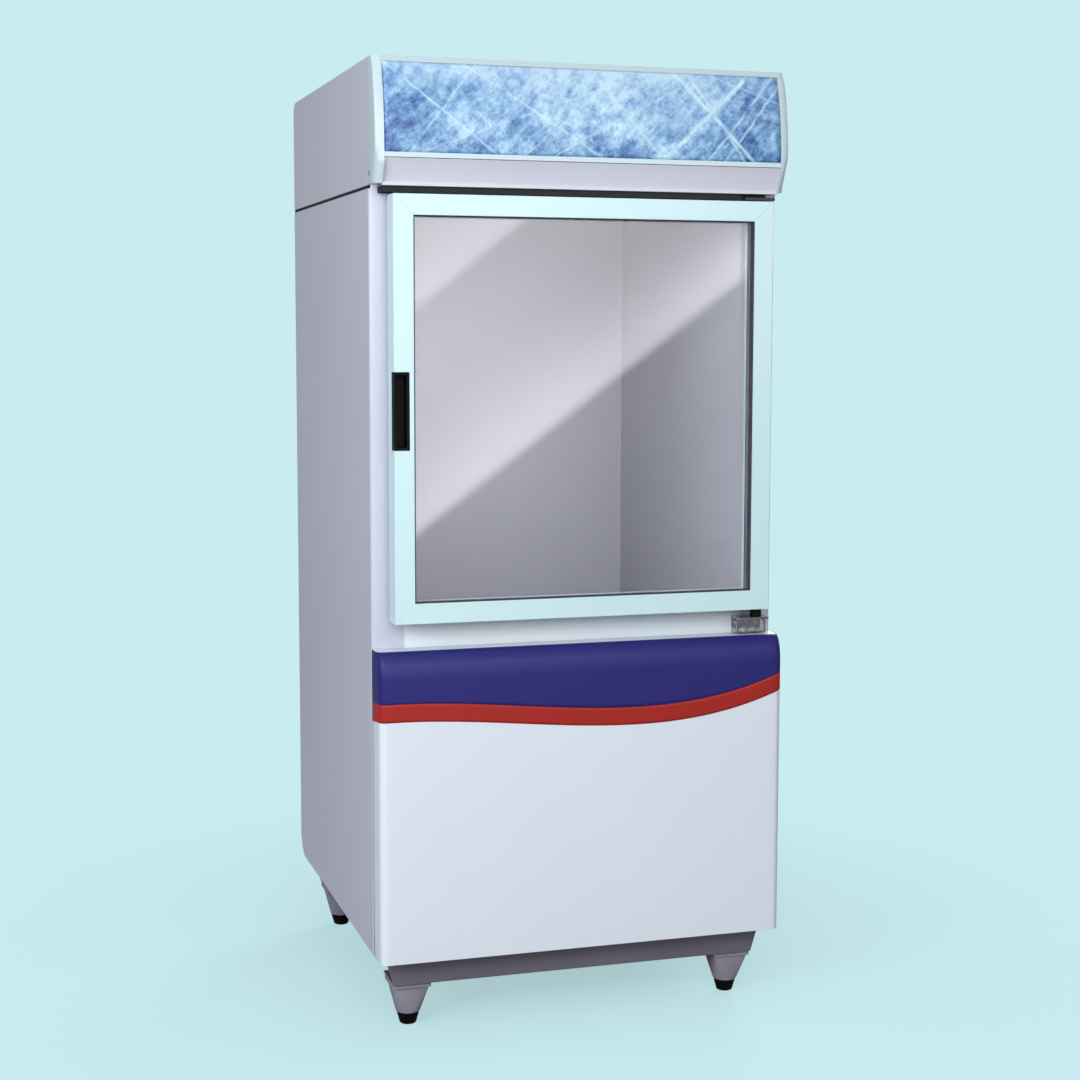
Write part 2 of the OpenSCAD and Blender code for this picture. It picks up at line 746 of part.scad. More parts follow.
module hinge_bracket_top() color("dimgray") cabinet_place() {
    difference() {
        union() {
            block(bracket_x0, bracket_x1, pin_y - 14, 0, upper_z0, upper_z0 + bracket_t);
            block(bracket_x0, bracket_x1, -3, 0, upper_z0, upper_z0 + bracket_t + upright_h);
        }
        bracket_screw_holes(-3 - cut, cut, upper_z0 + bracket_t + upright_h / 2);
    }
    translate([pin_x, pin_y, door_z1 - top_pin_h]) cylinder(r = pin_r, h = top_pin_h + top_gap + 2);
}

// ---- Canopy -----------------------------------------------------------------

module canopy_side() color("white") cabinet_place() along_x(-half_w, -inner_half) difference() {
    translate([0, can_z0]) square([cab_d, canopy_h]);
    corner_cut(cab_d, can_z1, canopy_rear_r, -1, -1);
}

module canopy_side_left() canopy_side();

module canopy_side_right() mirror([1, 0, 0]) canopy_side();

// Top and back of the canopy, one bent sheet
module canopy_cover() color("white") cabinet_place() along_x(-inner_half, inner_half) difference() {
    translate([0, can_z0]) square([cab_d, canopy_h]);
    corner_cut(cab_d, can_z1, canopy_rear_r, -1, -1);
    difference() {
        translate([-cut, can_z0 - cut]) square([cab_d - skin_t + cut, canopy_h - skin_t + cut]);
        corner_cut(cab_d - skin_t, can_z1 - skin_t, canopy_rear_r - skin_t, -1, -1);
    }
}

picture_cy = picture_y + picture_r;

// Front of the picture panel at height z
function bulge(z) = picture_cy - sqrt(picture_r * picture_r - (z - picture_mid) * (z - picture_mid));

// Outlines of the end cap where it meets the picture and at its outer face
function cap_inner() = concat([[0, can_z0], [-canopy_reach + 18, can_z0], [-canopy_reach, can_z0 + 36]],
    [for (z = [picture_z0:19:picture_z1]) [bulge(z) - 2, z]], [[bulge(can_z1) + 4, can_z1], [0, can_z1]]);

function cap_outer() = concat([[0, can_z0 + 2], [-canopy_reach + 42, can_z0 + 2],
    [-canopy_reach + 22, can_z0 + 40], [-canopy_reach + 7, can_z0 + 58]],
    [for (z = [picture_z0 + 19:19:picture_z1]) [bulge(z) + 3, z]],
    [[bulge(can_z1) + 9, can_z1], [0, can_z1]]);

module end_cap() color("ghostwhite") cabinet_place() difference() {
    hull() {
        along_x(-half_w, 0.5 - half_w) polygon(cap_outer());
        along_x(-cap_in - 4, -cap_in) polygon(cap_inner());
    }
    cyl_x(-half_w - cut, 8 - half_w, cap_screw_y, cap_screw_z, screw_r + fit_gap);
}

cap_screw_y = -8;
cap_screw_z = can_z0 + 21;

module end_cap_left() end_cap();

module end_cap_right() mirror([1, 0, 0]) end_cap();

module picture_panel() color("cornflowerblue") cabinet_place() along_x(-cap_in, cap_in) intersection() {
    difference() {
        translate([picture_cy, picture_mid]) circle(picture_r, $fn = 360);
        translate([picture_cy, picture_mid]) circle(picture_r - picture_t, $fn = 360);
    }
    translate([picture_y - cut, picture_z0]) square([60, picture_z1 - picture_z0]);
}

// White lip under the picture and trim over it
module picture_trims() color("white") cabinet_place() along_x(-cap_in, cap_in) {
    polygon([[-canopy_reach, picture_z0 - 9], [-canopy_reach, picture_z0], [10 - canopy_reach, picture_z0],
        [10 - canopy_reach, fascia_z1 - 9], [8 - canopy_reach, fascia_z1 - 9],
        [8 - canopy_reach, picture_z0 - 9]]);
    polygon([[bulge(picture_z1) - 1, picture_z1], [bulge(can_z1) + 4, can_z1], [0, can_z1],
        [0, can_z1 - skin_t], [bulge(picture_z1) + 13, can_z1 - skin_t],
        [bulge(picture_z1) + 13, picture_z1]]);
}

module canopy_fascia() color("lavender") cabinet_place() along_x(-cap_in, cap_in)
    polygon([[1 - canopy_reach, fascia_z1], [fascia_y + 3, fascia_z0 + 1], [fascia_y, fascia_z0],
        [fascia_y, lip_z0], [fascia_y + lip_w, lip_z0], [fascia_y + lip_w, lip_z0 + 2],
        [fascia_y + 4, lip_z0 + 2], [fascia_y + 5, fascia_z0 + 1],
        [4 - canopy_reach, fascia_z1 - 2], [8 - canopy_reach, fascia_z1 - 2],
        [8 - canopy_reach, fascia_z1]]);

// Black closing strip under the canopy, and the seal in the seam along each side
module gap_seal() color("black") cabinet_place() {
    difference() {
        block(-cap_in, bracket_x0 - 2, 26 - canopy_reach, 0, upper_z0 + seat_gap, lip_z0);
        block(3 - cap_in, bracket_x0 - 5, 29 - canopy_reach, -3, upper_z0 - cut, lip_z0 - 2);
    }
    both_sides() block(pan_half, half_w - 0.8, skin_t, back_in, side_h, can_z0);
}

module lamp_tubes() color("white") cabinet_place() for (z = lamp_zs)
    cyl_x(holder_w - cap_in, cap_in - holder_w, lamp_y, z, lamp_r);

module lamp_holders() color("whitesmoke") cabinet_place() both_sides() for (z = lamp_zs)
    block(cap_in - holder_w, cap_in, lamp_y - lamp_r - 2, lamp_y + lamp_r + 2,
        z - lamp_r - 2, z + lamp_r + 2);

// ---- Base -------------------------------------------------------------------

module rail_profile() difference() {
    translate([0, -rail_h]) square([rail_d, rail_h]);
    translate([rail_t, rail_t - rail_h]) square([rail_d, rail_h - 2 * rail_t]);
}

module rail_ends() polygon([[-rail_half, 0], [rail_half, 0], [rail_half - rail_slope, -rail_h],
    [rail_slope - rail_half, -rail_h]]);

module base_rail_front() color("dimgray") cabinet_place() intersection() {
    translate([0, rail_front_y, 0]) along_x(-rail_half, rail_half) rail_profile();
    along_y(rail_front_y - cut, rail_front_y + rail_d + cut) rail_ends();
}

module base_rail_rear() color("dimgray") cabinet_place() intersection() {
    translate([0, rail_rear_y, 0]) mirror([0, 1, 0]) along_x(-rail_half, rail_half) rail_profile();
    along_y(rail_rear_y - rail_d - cut, rail_rear_y + cut) rail_ends();
}

module machine_deck() color("gray") cabinet_place() {
    block(-deck_half, deck_half, 4, deck_y1, 0, deck_t);
    both_sides() {
        block(rail_half - 6, rail_half - 4, rail_front_y + rail_d + 1, rail_rear_y - rail_d - 1, -25, 0.1);
        block(tray_w / 2 + 3, tray_w / 2 + 6, tray_y0, deck_y1, deck_t - 0.1, ledge_h);
    }
}

module leg() difference() {
    union() {
        hull() {
            translate([0, 0, foot_h]) cylinder(r = leg_base_r, h = 4, $fn = 32);
            translate([-33, -33, foot_h + leg_h - 1]) cube([66, 66, 1]);
        }
        translate([-leg_plate_w / 2, -leg_plate_w / 2, foot_h + leg_h])
            cube([leg_plate_w, leg_plate_w, leg_plate_t]);
    }
    translate([0, 0, foot_h - cut]) cylinder(r = stem_r + fit_gap, h = stem_h + 3);
}

module legs() color("gray") for (x = [-leg_x, leg_x]) for (y = leg_ys)
    translate([x, front_y + y, 0]) leg();

module foot(x, y) color("black") translate([x, front_y + y, 0]) {
    rotate_extrude() polygon([[0, 0], [foot_base_r - 2, 0], [foot_base_r, 2], [foot_top_r, foot_h - 4],
        [foot_top_r, foot_h - seat_gap], [0, foot_h - seat_gap]]);
    translate([0, 0, foot_h - cut]) cylinder(r = stem_r, h = stem_h + cut);
}

module foot_front_left() foot(-leg_x, leg_ys[0]);

module foot_front_right() foot(leg_x, leg_ys[0]);

module foot_rear_left() foot(-leg_x, leg_ys[1]);

module foot_rear_right() foot(leg_x, leg_ys[1]);

// ---- Machine ----------------------------------------------------------------

stub_xs = [comp_x - stub_out, comp_x + stub_out];
stub_z = comp_z + comp_h + stub_h;

module compressor() color("black") cabinet_place() translate([comp_x, comp_y, 0]) {
    plate_t = 4;
    shell_z = comp_z + plate_t - 1;
    for (x = [-comp_foot_x, comp_foot_x]) for (y = [-comp_foot_y, comp_foot_y])
        translate([x, y, deck_t]) cylinder(r = 13, h = comp_foot_h);
    difference() {
        block(-comp_base_w / 2, comp_base_w / 2, -comp_base_d / 2, comp_base_d / 2, comp_z,
            comp_z + plate_t);
        for (x = [-comp_foot_x, comp_foot_x]) for (y = [-comp_foot_y, comp_foot_y])
            translate([x, y, shell_z]) cylinder(r = 5, h = plate_t);
    }
    // shell: an upright wall, a seam, and a dome cut flat on top
    translate([0, 0, shell_z]) rotate_extrude($fn = 96) intersection() {
        union() {
            square([comp_r, comp_h * 5 / 6]);
            translate([0, comp_h * 19 / 24]) circle(comp_r - 4, $fn = 96);
        }
        square([comp_r, comp_h * 71 / 60]);
    }
    for (x = [-stub_out, stub_out]) translate([x, 0, comp_z + comp_h * 5 / 6])
        cylinder(r = 6, h = comp_h / 6 + stub_h);
    block(comp_r * 0.85, comp_r * 1.28, -comp_r * 0.36, comp_r * 0.36, comp_z + comp_h / 4,
        comp_z + comp_h * 3 / 4);
}

module condenser() color("darkgray") cabinet_place() {
    x0 = coil_x - coil_w / 2;
    rows = 6;
    for (i = [0:fin_count - 1]) let(x = x0 + 12 + i * (coil_w - 25) / (fin_count - 1))
        block(x, x + 1, coil_y, coil_y + coil_d, coil_z, coil_z + coil_w);
    for (k = [0:rows - 1]) cyl_x(x0 + 1, x0 + coil_w - 1, coil_y + coil_d / 2,
        coil_z + coil_w * (k + 0.5) / rows, 4.5);
    for (x = [x0, x0 + coil_w - 3])
        block(x, x + 3, coil_y, coil_y + coil_d, deck_t, coil_z + coil_w);
    block(x0, x0 + coil_w, coil_y, coil_y + coil_d, deck_t, deck_t + 3);
    for (x = [x0 + coil_stub_in, x0 + coil_w - coil_stub_in])
        translate([x, coil_y + coil_d / 2, coil_z + coil_w - 30]) cylinder(r = 5, h = 30 + coil_stub_h);
}

module fan_shroud() color("dimgray") cabinet_place() {
    x0 = coil_x - coil_w / 2;
    difference() {
        union() {
            block(x0, x0 + coil_w, shroud_y, shroud_y + 2, deck_t, coil_z + coil_w);
            cyl_y(coil_x, shroud_y, shroud_y + 36, fan_z, fan_r + 8);
        }
        cyl_y(coil_x, shroud_y - cut, shroud_y + 37, fan_z, fan_r + 5);
    }
    difference() {
        union() {
            block(coil_x - fan_r - 22, coil_x + fan_r + 22, arm_y, arm_y + 4, fan_z - 12, fan_z + 12);
            for (s = [-1, 1]) block(coil_x + s * (fan_r + 18) - 4, coil_x + s * (fan_r + 18) + 4,
                shroud_y + 1, arm_y + 1, fan_z - 12, fan_z + 12);
        }
        cyl_y(coil_x, arm_y - cut, arm_y + 5, fan_z, shaft_r + 3);
    }
}

module fan_motor() color("black") cabinet_place() {
    cyl_y(coil_x, arm_y + 4, arm_y + 54, fan_z, 34);
    cyl_y(coil_x, fan_y - 11, arm_y + 5, fan_z, shaft_r);
}

module fan_blade() color("slategray") cabinet_place() translate([coil_x, fan_y, fan_z]) difference() {
    union() {
        cyl_y(0, -10, 10, 0, 18);
        for (k = [0:blade_count - 1]) rotate([0, k * 360 / blade_count, 0]) rotate([0, 0, 28])
            block(-19, 19, -1, 1, 15, fan_r - 2);
    }
    cyl_y(0, -11, 11, 0, shaft_r + fit_gap);
}

drier_x = 30 - half_w;
drier_y = comp_y - 130;
drier_r = 12;
drier_h = coil_w * 0.3;

// Bent copper lines between compressor, condenser and cooling tube, with the drier in one of them
module refrigerant_lines() color("peru") cabinet_place() {
    low_z = foam_z0 - 10;
    coil_top = coil_z + coil_w + coil_stub_h;
    mid_y = coil_y + coil_d / 2;
    out_x = coil_x + coil_w / 2 - coil_stub_in;
    in_x = coil_x - coil_w / 2 + coil_stub_in;
    drier_z = coil_top - drier_h;
    // from the cooling tube back to the compressor
    bent_tube([[-return_x, tube_y0, low_z], [-return_x, tube_y0, low_z - 40],
        [-return_x, comp_y, low_z - 40], [stub_xs[0], comp_y, low_z - 40],
        [stub_xs[0], comp_y, stub_z]], tube_r, 20, [1, 0, 0]);
    // from the compressor to the condenser
    bent_tube([[stub_xs[1], comp_y, stub_z], [stub_xs[1], comp_y, stub_z + 50],
        [stub_xs[1], mid_y, stub_z + 50], [stub_xs[1], mid_y, coil_top + 40],
        [out_x, mid_y, coil_top + 40], [out_x, mid_y, coil_top]], 4, 15, [1, 0, 0]);
    // from the condenser to the drier, and on to the cooling tube
    bent_tube([[in_x, mid_y, coil_top], [in_x, mid_y, coil_top + 30], [drier_x, mid_y, coil_top + 30],
        [drier_x, drier_y, coil_top + 30], [drier_x, drier_y, coil_top]], 3, 12, [1, 0, 0]);
    translate([drier_x, drier_y, drier_z]) cylinder(r = drier_r, h = drier_h);
    bent_tube([[drier_x, drier_y, drier_z], [drier_x, drier_y, drier_z - 30],
        [drier_x + 22, drier_y, drier_z - 30], [drier_x + 22, drier_y, low_z - 20],
        [-tube_x, tube_y0, low_z - 20], [-tube_x, tube_y0, low_z]], 2.5, 8, [1, 0, 0]);
}

module control_box() color("gainsboro") cabinet_place() difference() {
    wall = 3;
    frame = 4;
    union() {
        block(box_x0, box_x1, box_y0, face_y, box_z0, box_z1);
        block(window_x0 - frame, window_x1 + frame, face_y - cut, back_in, window_z0 - frame,
            window_z1 + frame);
    }
    block(box_x0 + wall, box_x1 - wall, box_y0 + wall, face_y - boss_t, box_z0 + wall, box_z1 - wall);
    block(window_x0, window_x1, face_y, back_in + cut, window_z0, window_z1);
    cyl_y(knob_x, face_y - 12, face_y + cut, dial_z, stalk_r + fit_gap);
    block(switch_x - rocker_w / 2 - 1, switch_x + rocker_w / 2 + 1, face_y - 12, face_y + cut,
        dial_z - rocker_l / 2 - 2.5, dial_z + rocker_l / 2 + 2.5);
    cyl_x(switch_x - rocker_w / 2 - 3.1, switch_x + rocker_w / 2 + 3.1, face_y - 2, dial_z,
        rocker_pin_r + fit_gap);
}

module thermostat_knob() color("white") cabinet_place() {
    cyl_y(knob_x, face_y + 1, face_y + 12, dial_z, knob_r);
    cyl_y(knob_x, face_y - 11.5, face_y + 2, dial_z, stalk_r);
    block(knob_x - 3, knob_x + 3, face_y + 11, face_y + 14, dial_z - knob_r + 1, dial_z + knob_r - 1);
}

module lamp_switch() color("black") cabinet_place() translate([switch_x, face_y - 2, dial_z])
    rotate([-rocker_tilt, 0, 0]) {
        along_x(-rocker_w / 2, rocker_w / 2) polygon([[-7, 5 - rocker_l / 2], [1, -rocker_l / 2],
            [5, -rocker_l / 2], [3.5, 0], [5, rocker_l / 2], [1, rocker_l / 2], [-7, rocker_l / 2 - 5]]);
        cyl_x(-rocker_w / 2 - 3, rocker_w / 2 + 3, 0, 0, rocker_pin_r);
    }

module drain_tray() color("gray") cabinet_place() {
    rim_z = ledge_h + seat_gap;
    difference() {
        union() {
            block(-tray_w / 2, tray_w / 2, tray_y0, tray_y1, rim_z + 2 - tray_h, rim_z + 2);
            block(-tray_w / 2 - 8, tray_w / 2 + 8, tray_y0, tray_y1, rim_z, rim_z + 2);
        }
        block(tray_t - tray_w / 2, tray_w / 2 - tray_t, tray_y0 + tray_t, tray_y1 - tray_t,
            rim_z + 2 - tray_h + tray_t, rim_z + 2 + cut);
    }
    block(-tray_w / 4, tray_w / 4, tray_y1 - cut, tray_y1 + 10, rim_z, rim_z + 2);
}

// The slots stop short of the control box on its side
module rear_grille() color("silver") cabinet_place() difference() {
    block(-inner_half, inner_half, back_in, cab_d - skin_t, grille_z0, foam_z0 - skin_t);
    slot_w = (inner_half * 2 - 5 * slot_gap) / 4 - 15;
    for (k = [0:11]) for (c = [0:3]) let(x = c * (slot_w + slot_gap) - 2 * slot_w - 1.5 * slot_gap,
        z = grille_z0 + 75 + k * slot_pitch)
        if (c < 2 || z < box_z0 - 30) block(x, x + slot_w, back_in - cut, cab_d, z, z + slot_h);
    block(window_x0, window_x1, back_in - cut, cab_d, window_z0, window_z1);
    cyl_y(gland_x, back_in - cut, cab_d, gland_z, cord_r + 4.5 + fit_gap);
    rear_screw_holes();
}

module cord_gland() color("black") cabinet_place() difference() {
    union() {
        cyl_y(gland_x, back_in - 10, cab_d + screw_head_h, gland_z, cord_r + 4.5);
        cyl_y(gland_x, cab_d - skin_t, cab_d + screw_head_h, gland_z, cord_r + 9);
        cyl_y(gland_x, back_in - 7, back_in, gland_z, cord_r + 8);
    }
    cyl_y(gland_x, back_in - 11, cab_d + screw_head_h + cut, gland_z, cord_r);
}

// ---- Fasteners --------------------------------------------------------------

// A pan head screw whose head lies on the plane y = 0 and points along -Y
module screw(shank) {
    cyl_y(0, -screw_head_h, 0, 0, screw_head_r);
    cyl_y(0, -screw_head_h / 2, shank, 0, screw_r);
}

module screws() color("silver") cabinet_place() {
    both_sides() for (z = rear_screw_zs) translate([rear_screw_x, cab_d, z]) mirror([0, 1, 0])
        screw(2 * skin_t);
    for (x = [bracket_x0 + 10, bracket_x1 - 10]) {
        translate([x, -3, (bracket_z0 + bracket_z1) / 2]) screw(3);
        translate([x, -3, upper_z0 + bracket_t + upright_h / 2]) screw(3);
    }
    both_sides() translate([-half_w, cap_screw_y, cap_screw_z]) rotate([0, 0, -90]) screw(7.5);
}

side_panel_left();
side_panel_right();
back_panel();
top_panel();
front_strips();
floor_pan();
inner_liner();
foam_insulation();
evaporator_tube();
floor_grate();
lower_panel();
blue_band();
red_stripe();
door_stile_left();
door_stile_right();
door_rail_top();
door_rail_bottom();
outer_pane();
inner_pane();
pane_spacer();
glazing_bead();
door_gasket();
handle_insert();
closer_rod();
hinge_bush();
hinge_bracket_bottom();
hinge_bracket_top();
canopy_side_left();
canopy_side_right();
canopy_cover();
end_cap_left();
end_cap_right();
picture_panel();
picture_trims();
canopy_fascia();
gap_seal();
lamp_tubes();
lamp_holders();
base_rail_front();
base_rail_rear();
machine_deck();
legs();
foot_front_left();
foot_front_right();
foot_rear_left();
foot_rear_right();
compressor();
condenser();
fan_shroud();
fan_motor();
fan_blade();
refrigerant_lines();
control_box();
thermostat_knob();
lamp_switch();
drain_tube();
drain_tray();
rear_grille();
cord_gland();
screws();
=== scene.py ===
import json
import math
import bmesh
import bpy
import numpy as np
from mathutils import Matrix, Vector


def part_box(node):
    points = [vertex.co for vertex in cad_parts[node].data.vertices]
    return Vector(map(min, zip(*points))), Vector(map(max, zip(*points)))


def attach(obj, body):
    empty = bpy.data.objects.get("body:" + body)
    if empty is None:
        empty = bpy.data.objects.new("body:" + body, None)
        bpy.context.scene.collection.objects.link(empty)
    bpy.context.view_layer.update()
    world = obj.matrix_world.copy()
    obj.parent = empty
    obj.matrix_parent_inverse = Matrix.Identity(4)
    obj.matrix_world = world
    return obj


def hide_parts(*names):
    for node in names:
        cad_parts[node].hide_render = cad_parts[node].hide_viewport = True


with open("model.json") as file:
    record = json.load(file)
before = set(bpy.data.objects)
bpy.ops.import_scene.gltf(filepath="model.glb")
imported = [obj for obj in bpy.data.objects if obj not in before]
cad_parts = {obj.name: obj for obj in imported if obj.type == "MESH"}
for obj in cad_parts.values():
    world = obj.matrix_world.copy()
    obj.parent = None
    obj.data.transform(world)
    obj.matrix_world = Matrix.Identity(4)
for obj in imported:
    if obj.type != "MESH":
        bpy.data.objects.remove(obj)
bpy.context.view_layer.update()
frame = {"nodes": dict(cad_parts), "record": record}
mm = 0.001
print("frame loaded")

# small tools

# sRGB hex to linear: ((s + 0.055) / 1.055) ^ 2.4, or s / 12.92 up to 0.04045
def toLinear(hexText):
    srgb = np.array([int(hexText[i:i + 2], 16) for i in (1, 3, 5)]) / 255
    linear = np.where(srgb <= 0.04045, srgb / 12.92, ((srgb + 0.055) / 1.055) ** 2.4)
    return (*linear.tolist(), 1.0)

# adds one node: attributes by name, socket values and links by socket name or number
def addNode(tree, kind, values=None, links=None, **attributes):
    node = tree.nodes.new(kind)
    for key, value in attributes.items():
        setattr(node, key, value)
    for key, value in (values or {}).items():
        node.inputs[key].default_value = value
    for key, socket in (links or {}).items():
        tree.links.new(socket, node.inputs[key])
    return node

# an emptied node tree and its output
def startTree(owner, outKind):
    owner.use_nodes = True
    tree = owner.node_tree
    tree.nodes.clear()
    return tree, addNode(tree, outKind)

def startMaterial(name):
    material = bpy.data.materials.new(name)
    tree, out = startTree(material, "ShaderNodeOutputMaterial")
    shader = addNode(tree, "ShaderNodeBsdfPrincipled")
    tree.links.new(shader.outputs[0], out.inputs["Surface"])
    place = addNode(tree, "ShaderNodeTexCoord").outputs["Object"]
    return material, tree, shader, place

# a mesh from a grid of points, rows x columns x 3 in metres; a loop joins the last column to the first
def gridMesh(name, grid, loop=False):
    ids = np.arange(grid.shape[0] * grid.shape[1]).reshape(grid.shape[:2])
    if loop:
        ids = np.concatenate([ids, ids[:, :1]], 1)
    quads = np.stack([ids[:-1, :-1], ids[1:, :-1], ids[1:, 1:], ids[:-1, 1:]], -1).reshape(-1, 4)
    points = grid.reshape(-1, 3)
    mesh = bpy.data.meshes.new(name)
    mesh.vertices.add(len(points))
    mesh.vertices.foreach_set("co", points.astype(np.float32).ravel())
    mesh.loops.add(quads.size)
    mesh.loops.foreach_set("vertex_index", quads.astype(np.int32).ravel())
    mesh.polygons.add(len(quads))
    mesh.polygons.foreach_set("loop_start", np.arange(0, quads.size, 4, dtype=np.int32))
    mesh.update(calc_edges=True)
    mesh.validate()
    return mesh

# joins doubles and marks the edges over an angle as sharp; a mesh from the CAD model has its triangles
# joined where they are flatter than the flat angle, and a new one has its faces turned outwards
def tidyMesh(mesh, sharp, join=2e-6, flat=None):
    work = bmesh.new()
    work.from_mesh(mesh)
    bmesh.ops.remove_doubles(work, verts=work.verts, dist=join)
    bmesh.ops.dissolve_degenerate(work, edges=work.edges, dist=join)
    if flat:
        bmesh.ops.dissolve_limit(work, angle_limit=math.radians(flat), verts=work.verts, edges=work.edges)
    else:
        bmesh.ops.recalc_face_normals(work, faces=work.faces)
    for face in work.faces:
        face.smooth = True
    work.to_mesh(mesh)
    work.free()
    mesh.set_sharp_from_angle(angle=math.radians(sharp))

def placePiece(name, mesh, material, body, nodes):
    piece = bpy.data.objects.new(name, mesh)
    bpy.context.scene.collection.objects.link(piece)
    mesh.materials.clear()
    mesh.materials.append(material)
    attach(piece, body)
    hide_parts(*nodes)
    return piece

# rounds the edges over an angle, by a width in mm
def addBevel(piece, width, segments, angle=32):
    bevel = piece.modifiers.new("edges", "BEVEL")
    bevel.width, bevel.segments, bevel.limit_method = width * mm, segments, "ANGLE"
    bevel.angle_limit = math.radians(angle)
    bevel.miter_outer = "MITER_ARC"
    bevel.harden_normals = True

# gives a drawn face its wall, inwards, in mm
def addWall(piece, thickness):
    wall = piece.modifiers.new("wall", "SOLIDIFY")
    wall.thickness, wall.offset = thickness * mm, -1

bodyOf = {n: b for b, names in frame["record"]["behaviour"]["bodies"].items() for n in names}

# a copy of a CAD node with joined triangles, softened edges (width in mm) and a finish
def softened(node, material, width, segments=2, sharp=30):
    mesh = frame["nodes"][node].data.copy()
    mesh.name = node + "_soft"
    tidyMesh(mesh, sharp, flat=0.6)
    piece = placePiece(node + "_soft", mesh, material, bodyOf[node], [node])
    if width:
        addBevel(piece, width, segments)

# gives a CAD node a finish and leaves its shape alone
def dressed(node, material):
    for slot in frame["nodes"][node].material_slots:
        slot.material = material

# finishes the nodes of a stage: those with a finish alone are dressed, and the others are softened,
# with the width in mm of their edges and, where they need it, the segments and the sharp angle
def finishNodes(looks):
    for node, (finish, *edges) in looks.items():
        if edges:
            softened(node, finishes[finish], *edges)
        else:
            dressed(node, finishes[finish])

def nodeMm(node):
    low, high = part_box(node)
    return np.array(low) * 1000, np.array(high) * 1000

# finishes

# a coated, moulded or rolled surface: two near tones in soft clouds, roughness that follows finer
# smears, and a bump of fine grain; what a finish doesn't say is taken from here
plainLook = {"cloudMm": 240, "cloudDetail": 3.0, "smearMm": 60, "smearDetail": 4.0, "grainDetail": 2.0,
             "bumpDepth": 0.1,  # share of the grain's width
             "metallic": 0.0, "more": {}}

def plainFinish(name, look):
    look = plainLook | look
    material, tree, shader, place = startMaterial(name)
    clouds, smears, grain = (
        addNode(tree, "ShaderNodeTexNoise", {"Scale": 1000 / look[k + "Mm"], "Detail": look[k + "Detail"]},
                {"Vector": place}).outputs["Fac"] for k in ("cloud", "smear", "grain"))
    tones = addNode(tree, "ShaderNodeMix", {6: toLinear(look["dark"]), 7: toLinear(look["light"])},
                    {0: clouds}, data_type="RGBA")
    rough = addNode(tree, "ShaderNodeMapRange", {"To Min": look["rough"][0], "To Max": look["rough"][1]},
                    {"Value": smears})
    bump = addNode(tree, "ShaderNodeBump",
                   {"Strength": look["bump"], "Distance": look["bumpDepth"] * look["grainMm"] * mm},
                   {"Height": grain})
    tree.links.new(tones.outputs[2], shader.inputs["Base Color"])
    tree.links.new(rough.outputs[0], shader.inputs["Roughness"])
    tree.links.new(bump.outputs[0], shader.inputs["Normal"])
    shader.inputs["Metallic"].default_value = look["metallic"]
    for key, value in look["more"].items():
        shader.inputs[key].default_value = value
    return material

finishes = {}
# prepainted sheet steel, white in itself: its base colour is darkened to a pale lilac grey as painted shade,
# the grey the side panels show in shade; smooth, with the faint waviness of rolled sheet
finishes["whiteEnamel"] = plainFinish("enamelled_sheet_steel_painted_shade", {
    "dark": "#babfcd", "light": "#c1c6d4", "rough": (0.30, 0.40), "grainMm": 45.0, "bump": 0.05,
    "cloudMm": 520, "smearMm": 180, "more": {"Coat Weight": 0.12, "Coat Roughness": 0.1}})
# the same sheet on the strips round the door's mouth, without the clear coat and painted a lighter white than
# the sides: painted light that stands in for the light the door's shadow takes from the strip under it
finishes["stripEnamel"] = plainFinish("enamelled_front_strips_painted_light", {
    "dark": "#d6dee3", "light": "#dde4e9", "rough": (0.32, 0.42), "grainMm": 45.0, "bump": 0.05,
    "cloudMm": 520, "smearMm": 180})
# moulded ABS of the lower panel: pale blue white, satin, with a fine spark-eroded grain
finishes["mouldedPanel"] = plainFinish("moulded_abs_panel", {
    "dark": "#d2dbe3", "light": "#d9e2e9", "rough": (0.36, 0.44), "grainMm": 2.4, "bump": 0.05,
    "cloudMm": 600, "smearMm": 200, "more": {"Specular IOR Level": 0.4}})
# calendered vinyl film: deep even colour, satin
finishes["blueFilm"] = plainFinish("printed_vinyl_blue", {
    "dark": "#211f66", "light": "#25236d", "rough": (0.40, 0.46), "grainMm": 30.0, "bump": 0.02,
    "smearMm": 150, "more": {"Specular IOR Level": 0.22}})
finishes["redFilm"] = plainFinish("printed_vinyl_red", {
    "dark": "#9a2018", "light": "#a2231b", "rough": (0.40, 0.46), "grainMm": 30.0, "bump": 0.02,
    "smearMm": 150, "more": {"Specular IOR Level": 0.22}})
# extruded rigid PVC of the door frame: pale aqua white, slightly waxy
finishes["frameVinyl"] = plainFinish("extruded_rigid_pvc", {
    "dark": "#bddbde", "light": "#c3e1e4", "rough": (0.28, 0.38), "grainMm": 20.0, "bump": 0.03,
    "cloudMm": 400, "smearMm": 120, "more": {"Coat Weight": 0.08, "Coat Roughness": 0.2}})
# injection-moulded ABS of the canopy's end caps and trims: pale aqua grey, satin
finishes["capAbs"] = plainFinish("moulded_abs_trim", {
    "dark": "#b4c8ce", "light": "#bbcfd5", "rough": (0.30, 0.40), "grainMm": 12.0, "bump": 0.03,
    "smearMm": 90, "more": {"Coat Weight": 0.08, "Coat Roughness": 0.2}})
# powder-coated fascia sheet: pale lilac grey, even and soft
finishes["fasciaPaint"] = plainFinish("powder_coated_fascia", {
    "dark": "#c3c5cf", "light": "#c9cad4", "rough": (0.40, 0.48), "grainMm": 3.0, "bump": 0.05})
# vacuum-formed polystyrene liner: light grey, smooth, with a slow waviness
finishes["linerPlastic"] = plainFinish("formed_polystyrene_liner", {
    "dark": "#bbbcc0", "light": "#c3c4c7", "rough": (0.34, 0.46), "grainMm": 60.0, "bump": 0.04,
    "smearMm": 160})
# extruded rubber that holds the panes: dark grey and dull
finishes["glazingRubber"] = plainFinish("grey_glazing_rubber", {
    "dark": "#303136", "light": "#3a3b41", "rough": (0.6, 0.75), "grainMm": 0.9, "bump": 0.15,
    "more": {"Specular IOR Level": 0.3}})
